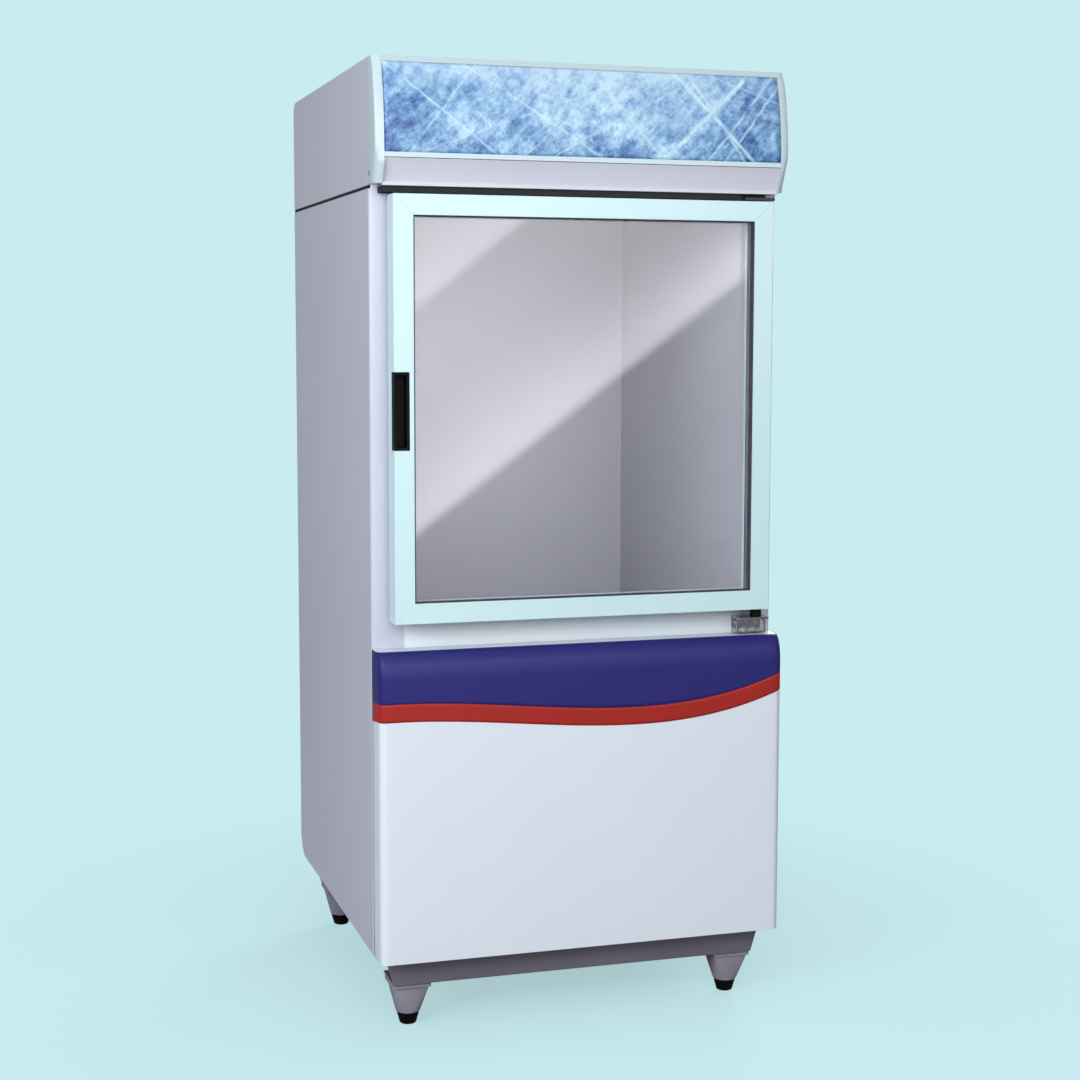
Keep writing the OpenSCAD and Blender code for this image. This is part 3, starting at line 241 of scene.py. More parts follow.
# EPDM rubber of the seal under the canopy and the cord's gland: near black and dull
finishes["blackRubber"] = plainFinish("epdm_rubber", {
    "dark": "#101012", "light": "#1a1a1d", "rough": (0.62, 0.8), "grainMm": 0.9, "bump": 0.2,
    "more": {"Specular IOR Level": 0.35}})
# soft PVC of the door gasket: dark grey, matt, a little cloudy
finishes["gasketVinyl"] = plainFinish("soft_pvc_gasket", {
    "dark": "#3a3b40", "light": "#484a50", "rough": (0.5, 0.66), "grainMm": 1.2, "bump": 0.12})
# moulded nylon of the handle, hinge bush, feet and switch: black with a low sheen
finishes["blackNylon"] = plainFinish("moulded_black_nylon", {
    "dark": "#040405", "light": "#08080a", "rough": (0.5, 0.62), "grainMm": 0.8, "bump": 0.18,
    "more": {"Specular IOR Level": 0.1}})
# grey moulded legs, satin, a little scuffed
finishes["legPlastic"] = plainFinish("moulded_grey_legs", {
    "dark": "#7d7b87", "light": "#918f9b", "rough": (0.38, 0.55), "grainMm": 1.1, "bump": 0.15,
    "cloudMm": 40})
# dark grey paint of the base rails, with dust in slow clouds
finishes["basePaint"] = plainFinish("dark_grey_base_paint", {
    "dark": "#59565f", "light": "#68656f", "rough": (0.4, 0.58), "grainMm": 1.6, "bump": 0.14,
    "cloudMm": 130})
# black powder coat on the upper hinge, the shroud and the motor
finishes["blackPowder"] = plainFinish("black_powder_coat", {
    "dark": "#121214", "light": "#1c1c1f", "rough": (0.42, 0.56), "grainMm": 1.0, "bump": 0.25})
# bright zinc plate on the screws and the closer's rod: pale, slightly clouded metal
finishes["zincPlate"] = plainFinish("bright_zinc_plate", {
    "dark": "#b4b7bd", "light": "#cfd1d6", "rough": (0.26, 0.4), "grainMm": 1.2, "bump": 0.08,
    "metallic": 1.0, "cloudMm": 12})
# polished zinc alloy of the lower hinge: bright, with dark and bright clouds painted into its colour as
# painted reflections and painted shade, standing in for the pattern of reflections and shaded holes on the
# polished bracket
finishes["hingePlate"] = plainFinish("polished_zinc_casting_painted_reflections", {
    "dark": "#5d6067", "light": "#d9dbe0", "rough": (0.12, 0.24), "grainMm": 3.0, "bump": 0.25,
    "metallic": 1.0, "cloudMm": 9})
# mill aluminium of the fins, the fan's blades and the panes' spacer: pale grey metal, dull in slow clouds
finishes["millAluminium"] = plainFinish("mill_aluminium", {
    "dark": "#a3a6aa", "light": "#bcbfc3", "rough": (0.3, 0.46), "grainMm": 1.5, "bump": 0.08,
    "metallic": 1.0, "cloudMm": 30})
# drawn copper tube, browned where it has been handled
finishes["copper"] = plainFinish("drawn_copper_tube", {
    "dark": "#8a4f36", "light": "#c07a55", "rough": (0.26, 0.46), "grainMm": 2.0, "bump": 0.06,
    "metallic": 1.0, "cloudMm": 35})
# rigid polyurethane foam: straw yellow, dull, in small cells
finishes["foam"] = plainFinish("rigid_polyurethane_foam", {
    "dark": "#c9b67e", "light": "#dccb98", "rough": (0.85, 0.95), "grainMm": 2.5, "bump": 0.5})
# polyethylene dip coat on the grate's wires: smooth white with a soft gloss
finishes["dipCoat"] = plainFinish("dip_coated_wire", {
    "dark": "#dfe3e4", "light": "#edf0f0", "rough": (0.28, 0.4), "grainMm": 3.0, "bump": 0.1})
# moulded polypropylene of the control box, tray and drain tube: mid grey, matt
finishes["greyPlastic"] = plainFinish("moulded_grey_housing", {
    "dark": "#8e9195", "light": "#9fa2a6", "rough": (0.45, 0.6), "grainMm": 1.0, "bump": 0.2})
# moulded urea of the knob and the lamp holders: near white, smooth
finishes["whiteKnob"] = plainFinish("moulded_white_knob", {
    "dark": "#dcdcda", "light": "#e8e8e6", "rough": (0.25, 0.36), "grainMm": 1.5, "bump": 0.06})
# frosted glass of the lamp tubes: milky, with a soft gloss
finishes["lampGlass"] = plainFinish("frosted_lamp_tube", {
    "dark": "#e9eae6", "light": "#f3f4f0", "rough": (0.3, 0.38), "grainMm": 2.0, "bump": 0.04})
# stove enamel on the compressor's drawn shell: deep black and glossy
finishes["compressorPaint"] = plainFinish("black_enamelled_shell", {
    "dark": "#0e0e10", "light": "#171719", "rough": (0.2, 0.32), "grainMm": 4.0, "bump": 0.15,
    "more": {"Coat Weight": 0.3, "Coat Roughness": 0.1}})

# hot-dip galvanised sheet: flat crystals 6 to 12 mm wide, each with its own grey and gloss, and with
# ragged edges from a finer noise that moves the spot read
spangle = {"dark": "#a7abb0", "light": "#c3c6ca", "rough": (0.3, 0.5), "metallic": 0.9, "crystalMm": 11.0,
           "bendsPerMetre": 90.0, "bendDetail": 2.0, "bendReach": 0.006}

def galvanised():
    material, tree, shader, place = startMaterial("galvanised_sheet")
    bend = addNode(tree, "ShaderNodeTexNoise",
                   {"Scale": spangle["bendsPerMetre"], "Detail": spangle["bendDetail"]}, {"Vector": place})
    moved = addNode(tree, "ShaderNodeVectorMath", {"Scale": spangle["bendReach"]}, {0: bend.outputs["Color"]},
                    operation="SCALE")
    spot = addNode(tree, "ShaderNodeVectorMath", None, {0: place, 1: moved.outputs[0]}, operation="ADD")
    crystals = addNode(tree, "ShaderNodeTexVoronoi", {"Scale": 1000 / spangle["crystalMm"]},
                       {"Vector": spot.outputs[0]}).outputs["Color"]
    tones = addNode(tree, "ShaderNodeMix", {6: toLinear(spangle["dark"]), 7: toLinear(spangle["light"])},
                    {0: crystals}, data_type="RGBA")
    rough = addNode(tree, "ShaderNodeMapRange",
                    {"To Min": spangle["rough"][0], "To Max": spangle["rough"][1]}, {"Value": crystals})
    tree.links.new(tones.outputs[2], shader.inputs["Base Color"])
    tree.links.new(rough.outputs[0], shader.inputs["Roughness"])
    shader.inputs["Metallic"].default_value = spangle["metallic"]
    return material

finishes["galvanised"] = galvanised()

# float glass, nearly colourless: clear to rays from the lamps, so that light reaches the store
glassLook = {"tint": "#f8f8fa", "shadowTint": "#f4f4f6", "roughness": 0.0, "refraction": 1.52}

def doorGlass():
    material = bpy.data.materials.new("float_glass")
    tree, out = startTree(material, "ShaderNodeOutputMaterial")
    pane = addNode(tree, "ShaderNodeBsdfPrincipled", {
        "Base Color": toLinear(glassLook["tint"]), "Roughness": glassLook["roughness"],
        "IOR": glassLook["refraction"], "Transmission Weight": 1.0})
    path = addNode(tree, "ShaderNodeLightPath")
    clear = addNode(tree, "ShaderNodeBsdfTransparent", {"Color": toLinear(glassLook["shadowTint"])})
    mixed = addNode(tree, "ShaderNodeMixShader", None,
                    {0: path.outputs["Is Shadow Ray"], 1: pane.outputs[0], 2: clear.outputs[0]})
    tree.links.new(mixed.outputs[0], out.inputs["Surface"])
    return material

finishes["glass"] = doorGlass()

# print under clear acrylic: frosted ice in steel blues and lavender, paler towards the top and the middle,
# mottled in grains 5 to 15 mm wide with slanting streaks, and crossed by long straight pale cracks; the
# acrylic gives it a clear gloss
icePrint = {
    # tone and colour: deep, middle, pale and frost
    "stops": [(0.39, "#274a86"), (0.458, "#5682b2"), (0.53, "#8db4d3"), (0.62, "#c0e0ea")],
    "violet": "#8a9ccb",
    # noises: cells per metre, detail, roughness
    "noises": {"cloud": (10.0, 4.0, 0.55), "grain": (62.0, 6.0, 0.75), "streaks": (16.0, 5.0, 0.7),
               "breaks": (34.0, 4.0, 0.6)},
    # what each adds to the tone: the noises, the height, nearness to the middle and the top band
    "shares": {"cloud": 0.34, "grain": 0.38, "streaks": 0.28, "climb": 0.07, "ends": 0.05, "top": 0.03},
    "streakTurn": 42,  # degrees
    "streakDraw": 4.0,  # length over width
    "endsFrom": 0.16,  # metres from the middle
    "topBand": (0.25, 1.1),  # shares of the half height
    "hazeShares": {"streaks": 1.0, "climb": 0.5},
    "hazeBand": (0.40, 0.80),
    "hazeStrength": 0.30,
    "breakBand": (0.32, 0.60),
    "breakLeast": 0.15,
    "wander": 0.005,  # metres to either side
    "surface": {"Roughness": 0.34, "Specular IOR Level": 0.22, "Coat Weight": 0.08, "Coat Roughness": 0.08},
    # cracks: a point on each (x, z from the middle, mm), slope in degrees, width in mm, strength
    "cracks": [(-330, 40, -38, 8, 0.7), (-290, -20, 52, 7, 0.5), (-150, 30, -32, 7, 0.6),
               (-60, -30, 40, 7, 0.5), (60, 20, -50, 8, 0.6), (150, 35, 28, 7, 0.5),
               (236, 0, 43, 15, 1.0), (262, -10, -56, 9, 0.8), (212, 40, -46, 12, 0.9),
               (318, -20, 52, 8, 0.7), (296, -10, 50, 8, 0.7), (-220, -45, 20, 7, 0.4),
               (340, 45, -20, 7, 0.4)]}

def icePicture():
    material, tree, shader, place = startMaterial("ice_print_under_acrylic")
    low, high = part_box("picture_panel")
    half = (high.z - low.z) / 2

    # a sum of parts, each times its share
    def summed(parts, shares):
        total = None
        for key, share in shares.items():
            links = {0: parts[key]} if total is None else {0: parts[key], 2: total}
            total = addNode(tree, "ShaderNodeMath", {1: share, 2: 0.0}, links,
                            operation="MULTIPLY_ADD").outputs[0]
        return total

    # the picture's own axes, from its middle, and the same turned and squashed for the streaks
    flat = addNode(tree, "ShaderNodeMapping",
                   {"Location": (-(low.x + high.x) / 2, 0.0, -(low.z + high.z) / 2)},
                   {"Vector": place}).outputs[0]
    turned = addNode(tree, "ShaderNodeMapping",
                     {"Rotation": (0.0, math.radians(icePrint["streakTurn"]), 0.0)},
                     {"Vector": flat}).outputs[0]
    slanted = addNode(tree, "ShaderNodeMapping", {"Scale": (1.0, 1.0, icePrint["streakDraw"])},
                      {"Vector": turned}).outputs[0]
    parts = {}
    for key, (scale, detail, roughness) in icePrint["noises"].items():
        parts[key] = addNode(tree, "ShaderNodeTexNoise",
                             {"Scale": scale, "Detail": detail, "Roughness": roughness},
                             {"Vector": slanted if key == "streaks" else flat}).outputs["Fac"]
    axes = addNode(tree, "ShaderNodeSeparateXYZ", None, {0: flat})
    away = addNode(tree, "ShaderNodeMath", None, {0: axes.outputs["X"]}, operation="ABSOLUTE")
    parts["climb"] = addNode(tree, "ShaderNodeMapRange", {
        "From Min": -half, "From Max": half, "To Min": -0.5, "To Max": 0.5},
        {"Value": axes.outputs["Z"]}).outputs[0]
    parts["ends"] = addNode(tree, "ShaderNodeMapRange", {
        "From Min": icePrint["endsFrom"], "From Max": high.x, "To Min": 0.5, "To Max": -0.5},
        {"Value": away.outputs[0]}).outputs[0]
    parts["top"] = addNode(tree, "ShaderNodeMapRange", {
        "From Min": icePrint["topBand"][0] * half, "From Max": icePrint["topBand"][1] * half},
        {"Value": axes.outputs["Z"]}, clamp=True).outputs[0]
    tone = summed(parts, icePrint["shares"])
    ramp = addNode(tree, "ShaderNodeValToRGB", None, {0: tone})
    stops = icePrint["stops"]
    colours = ramp.color_ramp.elements
    colours[0].position, colours[1].position = stops[0][0], stops[-1][0]
    for spot, _ in stops[1:-1]:
        colours.new(spot)
    for colour, (_, hexText) in zip(colours, stops):
        colour.color = toLinear(hexText)

    # lavender haze in slow clouds, stronger towards the top
    haze = addNode(tree, "ShaderNodeMapRange", {
        "From Min": icePrint["hazeBand"][0], "From Max": icePrint["hazeBand"][1],
        "To Max": icePrint["hazeStrength"]}, {"Value": summed(parts, icePrint["hazeShares"])}, clamp=True)
    hazed = addNode(tree, "ShaderNodeMix", {7: toLinear(icePrint["violet"])},
                    {0: haze.outputs[0], 6: ramp.outputs[0]}, data_type="RGBA")

    # each crack: 1 minus the distance from a straight line over its half width, broken up by noise
    broken = addNode(tree, "ShaderNodeMapRange", {
        "From Min": icePrint["breakBand"][0], "From Max": icePrint["breakBand"][1],
        "To Min": icePrint["breakLeast"]}, {"Value": parts["breaks"]}, clamp=True)
    wander = addNode(tree, "ShaderNodeMapRange", {
        "To Min": -icePrint["wander"], "To Max": icePrint["wander"]}, {"Value": parts["breaks"]})
    total = None
    for x, z, slope, width, strength in icePrint["cracks"]:
        turn = math.radians(slope)
        normal = (-math.sin(turn), 0.0, math.cos(turn))
        reach = addNode(tree, "ShaderNodeVectorMath", {1: normal}, {0: flat}, operation="DOT_PRODUCT")
        moved = addNode(tree, "ShaderNodeMath", None, {0: reach.outputs["Value"], 1: wander.outputs[0]},
                        operation="ADD")
        offset = addNode(tree, "ShaderNodeMath", {1: (x * normal[0] + z * normal[2]) * mm},
                         {0: moved.outputs[0]}, operation="SUBTRACT")
        distance = addNode(tree, "ShaderNodeMath", None, {0: offset.outputs[0]}, operation="ABSOLUTE")
        line = addNode(tree, "ShaderNodeMapRange", {
            "From Min": 0.0, "From Max": width / 2 * mm, "To Min": strength, "To Max": 0.0},
            {"Value": distance.outputs[0]}, interpolation_type="SMOOTHSTEP").outputs[0]
        if total is None:
            total = line
        else:
            total = addNode(tree, "ShaderNodeMath", None, {0: total, 1: line},
                            operation="MAXIMUM").outputs[0]
    shown = addNode(tree, "ShaderNodeMath", None, {0: total, 1: broken.outputs[0]}, operation="MULTIPLY")
    cracked = addNode(tree, "ShaderNodeMix", {7: toLinear(stops[-1][1])},
                      {0: shown.outputs[0], 6: hazed.outputs[2]}, data_type="RGBA")
    tree.links.new(cracked.outputs[2], shader.inputs["Base Color"])
    for key, value in icePrint["surface"].items():
        shader.inputs[key].default_value = value
    return material

finishes["icePicture"] = icePicture()
print("finishes made")

# lower front panel and its films; z is counted from the cabinet's lower edge and y from its front

sideLow = nodeMm("side_panel_left")[0]
bodyHalf, frontY, bodyZ = -sideLow[0], sideLow[1], sideLow[2]

panel = {"half": 399.6, "reach": 66.0, "height": 584.0, "wall": 3.0, "edgeRadius": 15.0,
         "roundDepth": 25.0, "roundHeight": 50.0,
         "columns": (5, 10, 64, 10, 5),  # left return, left corner, front, right corner, right return
         "flatRows": 10, "roundRows": 18,
         # the flat closings of the foot and the top end in a line: its share of the width, its place
         "closeRows": 6, "closeWidth": 0.9, "closeDepth": 1.0}
bendZ = panel["height"] - panel["roundHeight"]
panelPart = np.concatenate([np.full(count, k) for k, count in enumerate(panel["columns"])])[None, :]
panelShare = np.concatenate([np.linspace(0, 1, count) for count in panel["columns"]])[None, :]

# outline of the panel at depth d, grown by g: straight returns, quarter circles x = -half + r - r cos a,
# y = -d + r - r sin a, and a straight front; the depth has one row for each height
def panelOutline(depth, grow):
    half, r = panel["half"] + grow, panel["edgeRadius"] + grow
    onFront, onCorner, onRight = panelPart == 2, panelPart % 2 == 1, panelPart > 2
    back = np.where(onRight, 1 - panelShare, panelShare)
    side = np.where(onRight, 1.0, -1.0)
    angle = back * math.pi / 2
    x = np.where(onFront, (2 * panelShare - 1) * (half - r),
                 side * np.where(onCorner, half - r + r * np.cos(angle), half))
    y = np.where(onFront, -depth, np.where(onCorner, -depth + r - r * np.sin(angle), back * (r - depth)))
    return np.broadcast_arrays(x, y)

# depth at height z: full below the rounding, then an ellipse
def panelDepth(z, grow):
    rise = np.clip((z - bendZ) / (panel["roundHeight"] + grow), 0, 1)
    return panel["reach"] - panel["roundDepth"] + (panel["roundDepth"] + grow) * np.sqrt(1 - rise * rise)

# heights over the rounding, closer together towards the top: z = bend + rise sin a
def roundHeights(rise, count):
    return bendZ + rise * np.sin(np.linspace(0, math.pi / 2, count))[1:, None]

def toGrid(x, y, z):
    return np.stack(np.broadcast_arrays(x, y + frontY, z + bodyZ), -1) * mm

def makePanel():
    straight = np.linspace(0, bendZ, panel["flatRows"])[:, None]
    z = np.concatenate([straight, roundHeights(panel["roundHeight"], panel["roundRows"])])
    x, y = panelOutline(panelDepth(z, 0), 0)
    # flat closings: the rim drawn in towards the back, until a line is left
    share = np.linspace(0, 1, panel["closeRows"])[:-1, None]
    width = panel["closeWidth"] + (1 - panel["closeWidth"]) * share
    depth = panel["closeDepth"] * (1 - share)
    x = np.concatenate([x[:1] * width, x, (x[-1:] * width)[::-1]])
    y = np.concatenate([y[:1] * share - depth, y, (y[-1:] * share - depth)[::-1]])
    z = np.concatenate([0 * share, z, panel["height"] + 0 * share])
    mesh = gridMesh("lower_panel_shell", toGrid(x, y, z))
    tidyMesh(mesh, 40, join=2e-5)
    piece = placePiece("lower_panel_shell", mesh, finishes["mouldedPanel"], "freezer",
                       ["lower_panel"])
    addWall(piece, panel["wall"])

wave = {"left": 490.0, "lead": 498.0, "dip": 405.0, "right": 514.0, "sideDrop": 6.0, "sideRun": 50.0}
film = {"off": 0.4, "wall": 0.36, "stripe": 34.0, "stripeRows": 8, "bandRows": 12, "roundRows": 20}

# height of the wave: a cubic curve over the front's width, sinking a little along the left return
def waveHeight(x, y):
    t = np.clip((x + bodyHalf) / (2 * bodyHalf), 0, 1)
    height = (wave["left"] * (1 - t) ** 3 + 3 * wave["lead"] * t * (1 - t) ** 2
              + 3 * wave["dip"] * t * t * (1 - t) + wave["right"] * t ** 3)
    onLeft = np.clip((y + panel["reach"] - panel["edgeRadius"]) / wave["sideRun"], 0, 1) * (x < 0)
    return height - wave["sideDrop"] * onLeft

# a film over the panel: from the wave, or a stripe's height under it, up to the wave or to the flat top
def makeFilm(name, material, node, drop, toTop):
    off = film["off"]
    wavePart = waveHeight(*panelOutline(np.array([[panel["reach"] + off]]), off))
    low = wavePart - drop
    if toTop:
        rows = np.linspace(0, 1, film["bandRows"])[:, None]
        curve = roundHeights(panel["roundHeight"] + off, film["roundRows"])
        z = np.concatenate([low + (bendZ - low) * rows, curve + 0 * low])
    else:
        z = low + drop * np.linspace(0, 1, film["stripeRows"])[:, None]
    x, y = panelOutline(panelDepth(z, off), off)
    mesh = gridMesh(name, toGrid(x, y, z))
    tidyMesh(mesh, 60)
    piece = placePiece(name, mesh, material, "freezer", [node])
    addWall(piece, film["wall"])

makePanel()
makeFilm("blue_film", finishes["blueFilm"], "blue_band", 0.0, True)
makeFilm("red_film", finishes["redFilm"], "red_stripe", film["stripe"], False)
print("lower panel made")

# canopy; here z is counted from the canopy's lower edge

canopy = {"reach": 62.0, "bulgeRadius": 469.0, "bulgeFront": -60.0, "bulgeMid": 66.0,
          "pictureWall": 2.8, "pictureRows": 30, "pictureColumns": 60}
capLow, capHigh = nodeMm("end_cap_left")
canopyZ = capLow[2] - bodyZ
canopyTop = capHigh[2] - capLow[2]

# front of the picture at height z: a circle's arc, y = c - sqrt(R^2 - (z - m)^2)
def bulge(z):
    c = canopy["bulgeFront"] + canopy["bulgeRadius"]
    return c - np.sqrt(canopy["bulgeRadius"] ** 2 - (z - canopy["bulgeMid"]) ** 2)

# points spaced evenly along a polyline of (y, z)
def evenly(points, count):
    run = np.concatenate([[0], np.cumsum(np.linalg.norm(np.diff(points, axis=0), axis=1))])
    spots = np.linspace(0, run[-1], count)
    return np.stack([np.interp(spots, run, points[:, k]) for k in (0, 1)], -1)

# Catmull-Rom curve through (y, z) points: the cubic whose slope at a point follows its neighbours
def smoothCurve(points, steps):
    p = np.array(points, float)
    p = np.concatenate([2 * p[:1] - p[1:2], p, 2 * p[-1:] - p[-2:-1]])
    t = np.linspace(0, 1, steps, endpoint=False)[None, :, None]
    a, b, c, d = (p[k:len(p) - 3 + k][:, None, :] for k in range(4))
    curve = 0.5 * (2 * b + (c - a) * t + (2 * a - 5 * b + 4 * c - d) * t ** 2
                   + (3 * b - a - 3 * c + d) * t ** 3)
    return np.concatenate([curve.reshape(-1, 2), p[-2:-1]])

# an end cap: its inner rim lies beside the picture and its outer rim round the side face; a rim starts
# with points (behind the reach, height), then follows the picture at an offset between two heights
cap = {"width": 16.0, "topGap": 0.5, "curveSteps": 12, "rimSteps": 60, "turnSteps": 10, "centreY": -20.0,
       "inner": {"foot": [(18, 0.3), (1, 34), (0, 46)], "follow": (58, 205, 8), "off": -2.0, "topOff": 3.0},
       "outer": {"foot": [(40, 2.3), (23, 38), (9, 56), (6, 68)], "follow": (80, 205, 7), "off": 3.5,
                 "topOff": 9.0}}

# a rim's points, from the back of its foot round the front to the back of its top
def capRim(rim):
    foot = [(back - canopy["reach"], z) for back, z in rim["foot"]]
    follow = [(bulge(z) + rim["off"], z) for z in np.linspace(*rim["follow"])]
    end = (bulge(canopyTop) + rim["topOff"], canopyTop - cap["topGap"])
    front = evenly(smoothCurve(foot + follow + [end], cap["curveSteps"]), cap["rimSteps"])
    return np.concatenate([[[0, foot[0][1]]], front, [[0, end[1]]]])

def makeCap(name, side, node):
    inner, outer = capRim(cap["inner"]), capRim(cap["outer"])
    innerX = bodyHalf - cap["width"]
    # the rim turns from front to side as a quarter ellipse: x by sine, outline by one minus cosine
    turn = np.linspace(0, math.pi / 2, cap["turnSteps"])[:, None]
    outline = inner + (outer - inner) * (1 - np.cos(turn[..., None]))
    x = innerX + cap["width"] * np.sin(turn) + 0 * outline[..., 0]
    body = np.stack([x, outline[..., 0], outline[..., 1]], -1)
    # each flat side closes on a point at its middle
    centres = np.array([[cap["centreY"], canopyTop / 2]] * len(inner))
    sides = [np.column_stack([np.full(len(inner), sideX), centres])[None] for sideX in (innerX, bodyHalf)]
    grid = np.concatenate([sides[0], body, sides[1]])
    mesh = gridMesh(name, toGrid(side * grid[..., 0], grid[..., 1], grid[..., 2] + canopyZ), True)
    tidyMesh(mesh, 38)
    placePiece(name, mesh, finishes["capAbs"], "freezer", [node])

def makePicture():
    low, high = nodeMm("picture_panel")
    lowest, highest = low[2] - bodyZ - canopyZ, high[2] - bodyZ - canopyZ
    z = np.linspace(lowest, highest, canopy["pictureRows"])[:, None]
    x = np.linspace(low[0], high[0], canopy["pictureColumns"])[None, :]
    mesh = gridMesh("picture_sheet", toGrid(x, bulge(z), z + canopyZ))
    tidyMesh(mesh, 60)
    piece = placePiece("picture_sheet", mesh, finishes["icePicture"], "freezer",
                       ["picture_panel"])
    addWall(piece, canopy["pictureWall"])

makeCap("end_cap_left_cover", -1, "end_cap_left")
makeCap("end_cap_right_cover", 1, "end_cap_right")
makePicture()
finishNodes({
    "picture_trims": ("capAbs", 1.2, 3), "canopy_fascia": ("fasciaPaint", 0.8),
    "canopy_side_left": ("whiteEnamel", 0.5), "canopy_side_right": ("whiteEnamel", 0.5),
    "canopy_cover": ("whiteEnamel", 0.5), "gap_seal": ("blackRubber", 0.6),
    "lamp_tubes": ("lampGlass",), "lamp_holders": ("whiteKnob",)})
print("canopy made")

# cabinet

finishNodes({
    "side_panel_left": ("whiteEnamel", 0.5), "side_panel_right": ("whiteEnamel", 0.5),
    # the front strips take the lightened enamel: painted light against the door's shadow
    "back_panel": ("galvanised", 0.0), "top_panel": ("galvanised", 0.0), "front_strips": ("stripEnamel", 0.4),
    "floor_pan": ("galvanised", 0.0), "foam_insulation": ("foam",), "evaporator_tube": ("copper",),
    "inner_liner": ("linerPlastic", 1.2)})
print("cabinet made")

# door

finishNodes({
    "door_stile_left": ("frameVinyl", 0.9, 3), "door_stile_right": ("frameVinyl", 0.9, 3),
    "door_rail_top": ("frameVinyl", 0.9, 3), "door_rail_bottom": ("frameVinyl", 0.9, 3),
    "outer_pane": ("glass", 0.0), "inner_pane": ("glass", 0.0), "pane_spacer": ("millAluminium", 0.4),
    "glazing_bead": ("glazingRubber", 0.5), "handle_insert": ("blackNylon", 1.6, 3),
    "hinge_bush": ("blackNylon", 0.8), "closer_rod": ("zincPlate",),
    # the lower hinge's dark and bright clouds are painted reflections and painted shade
    "hinge_bracket_bottom": ("hingePlate", 0.5), "hinge_bracket_top": ("blackPowder", 0.6)})

# magnetic gasket: its section (in from the edge, depth) is drawn once, clear of the node's front and
# back, and carried round the door's back as a closed ring
gasket = {"clear": 0.1,
          "section": [(0, 0), (0, 1.6), (1.4, 2.6), (0.4, 4.2), (0.4, 8.2), (1.2, 10.2), (0.6, 11.4),
                      (0.6, 13.3), (1.2, 13.7), (12.8, 13.7), (13.4, 13.3), (13.4, 11.4), (12.8, 10.2),
                      (13.6, 8.2), (13.6, 4.2), (12.6, 2.6), (14, 1.6), (14, 0)]}

def makeGasket():
    low, high = nodeMm("door_gasket")
    section = np.array(gasket["section"])
    # corner k of the ring at section point (u, v): the box's corner moved in by u, v behind its front
    u, v = section[:, :1], section[:, 1:]
    right, up = np.array([[0, 1, 1, 0]]), np.array([[0, 0, 1, 1]])
    x = low[0] + u + right * (high[0] - low[0] - 2 * u)
    z = low[2] + u + up * (high[2] - low[2] - 2 * u)
    y = low[1] + gasket["clear"] + v / v.max() * (high[1] - low[1] - 2 * gasket["clear"]) + 0 * x
    grid = np.stack([x, y, z], -1) * mm
    mesh = gridMesh("door_gasket_ring", np.concatenate([grid, grid[:1]]), True)
    tidyMesh(mesh, 50)
    placePiece("door_gasket_ring", mesh, finishes["gasketVinyl"], "door", ["door_gasket"])

makeGasket()
print("door made")

# base, machine and rear

finishNodes({
    "base_rail_front": ("basePaint", 1.2), "base_rail_rear": ("basePaint", 1.2),
    "machine_deck": ("galvanised", 0.4), "legs": ("legPlastic", 1.6, 3),
    "foot_front_left": ("blackNylon", 0.8), "foot_front_right": ("blackNylon", 0.8),
    "foot_rear_left": ("blackNylon", 0.8), "foot_rear_right": ("blackNylon", 0.8),
    "compressor": ("compressorPaint", 1.2), "condenser": ("millAluminium",),
    "fan_shroud": ("blackPowder", 0.6), "fan_motor": ("blackPowder", 1.5),
    "fan_blade": ("millAluminium", 0.4), "refrigerant_lines": ("copper", 0.0, 2, 60),
    "control_box": ("greyPlastic", 1.0),
    "thermostat_knob": ("whiteKnob", 1.0), "lamp_switch": ("blackNylon", 0.6),
    "drain_tube": ("greyPlastic", 0.4), "drain_tray": ("greyPlastic",), "rear_grille": ("galvanised",),
    "cord_gland": ("blackRubber", 0.8), "screws": ("zincPlate", 0.5), "floor_grate": ("dipCoat", 1.4)})
print("base and machine made")

# stage, light and camera

# the floor's shadow fades out between near and far, and in reflections the floor fades into the room
# between the two hazes; metres from the middle
stageLook = {"backdrop": "#c9ecf0", "bounce": "#a9a9ae", "ambient": "#ffffff", "ambientLevel": 0.26,
             "shadowShare": 0.34, "near": 0.55, "far": 1.5, "hazeNear": 2.0, "hazeFar": 9.0,
             "floorHalf": 30.0}

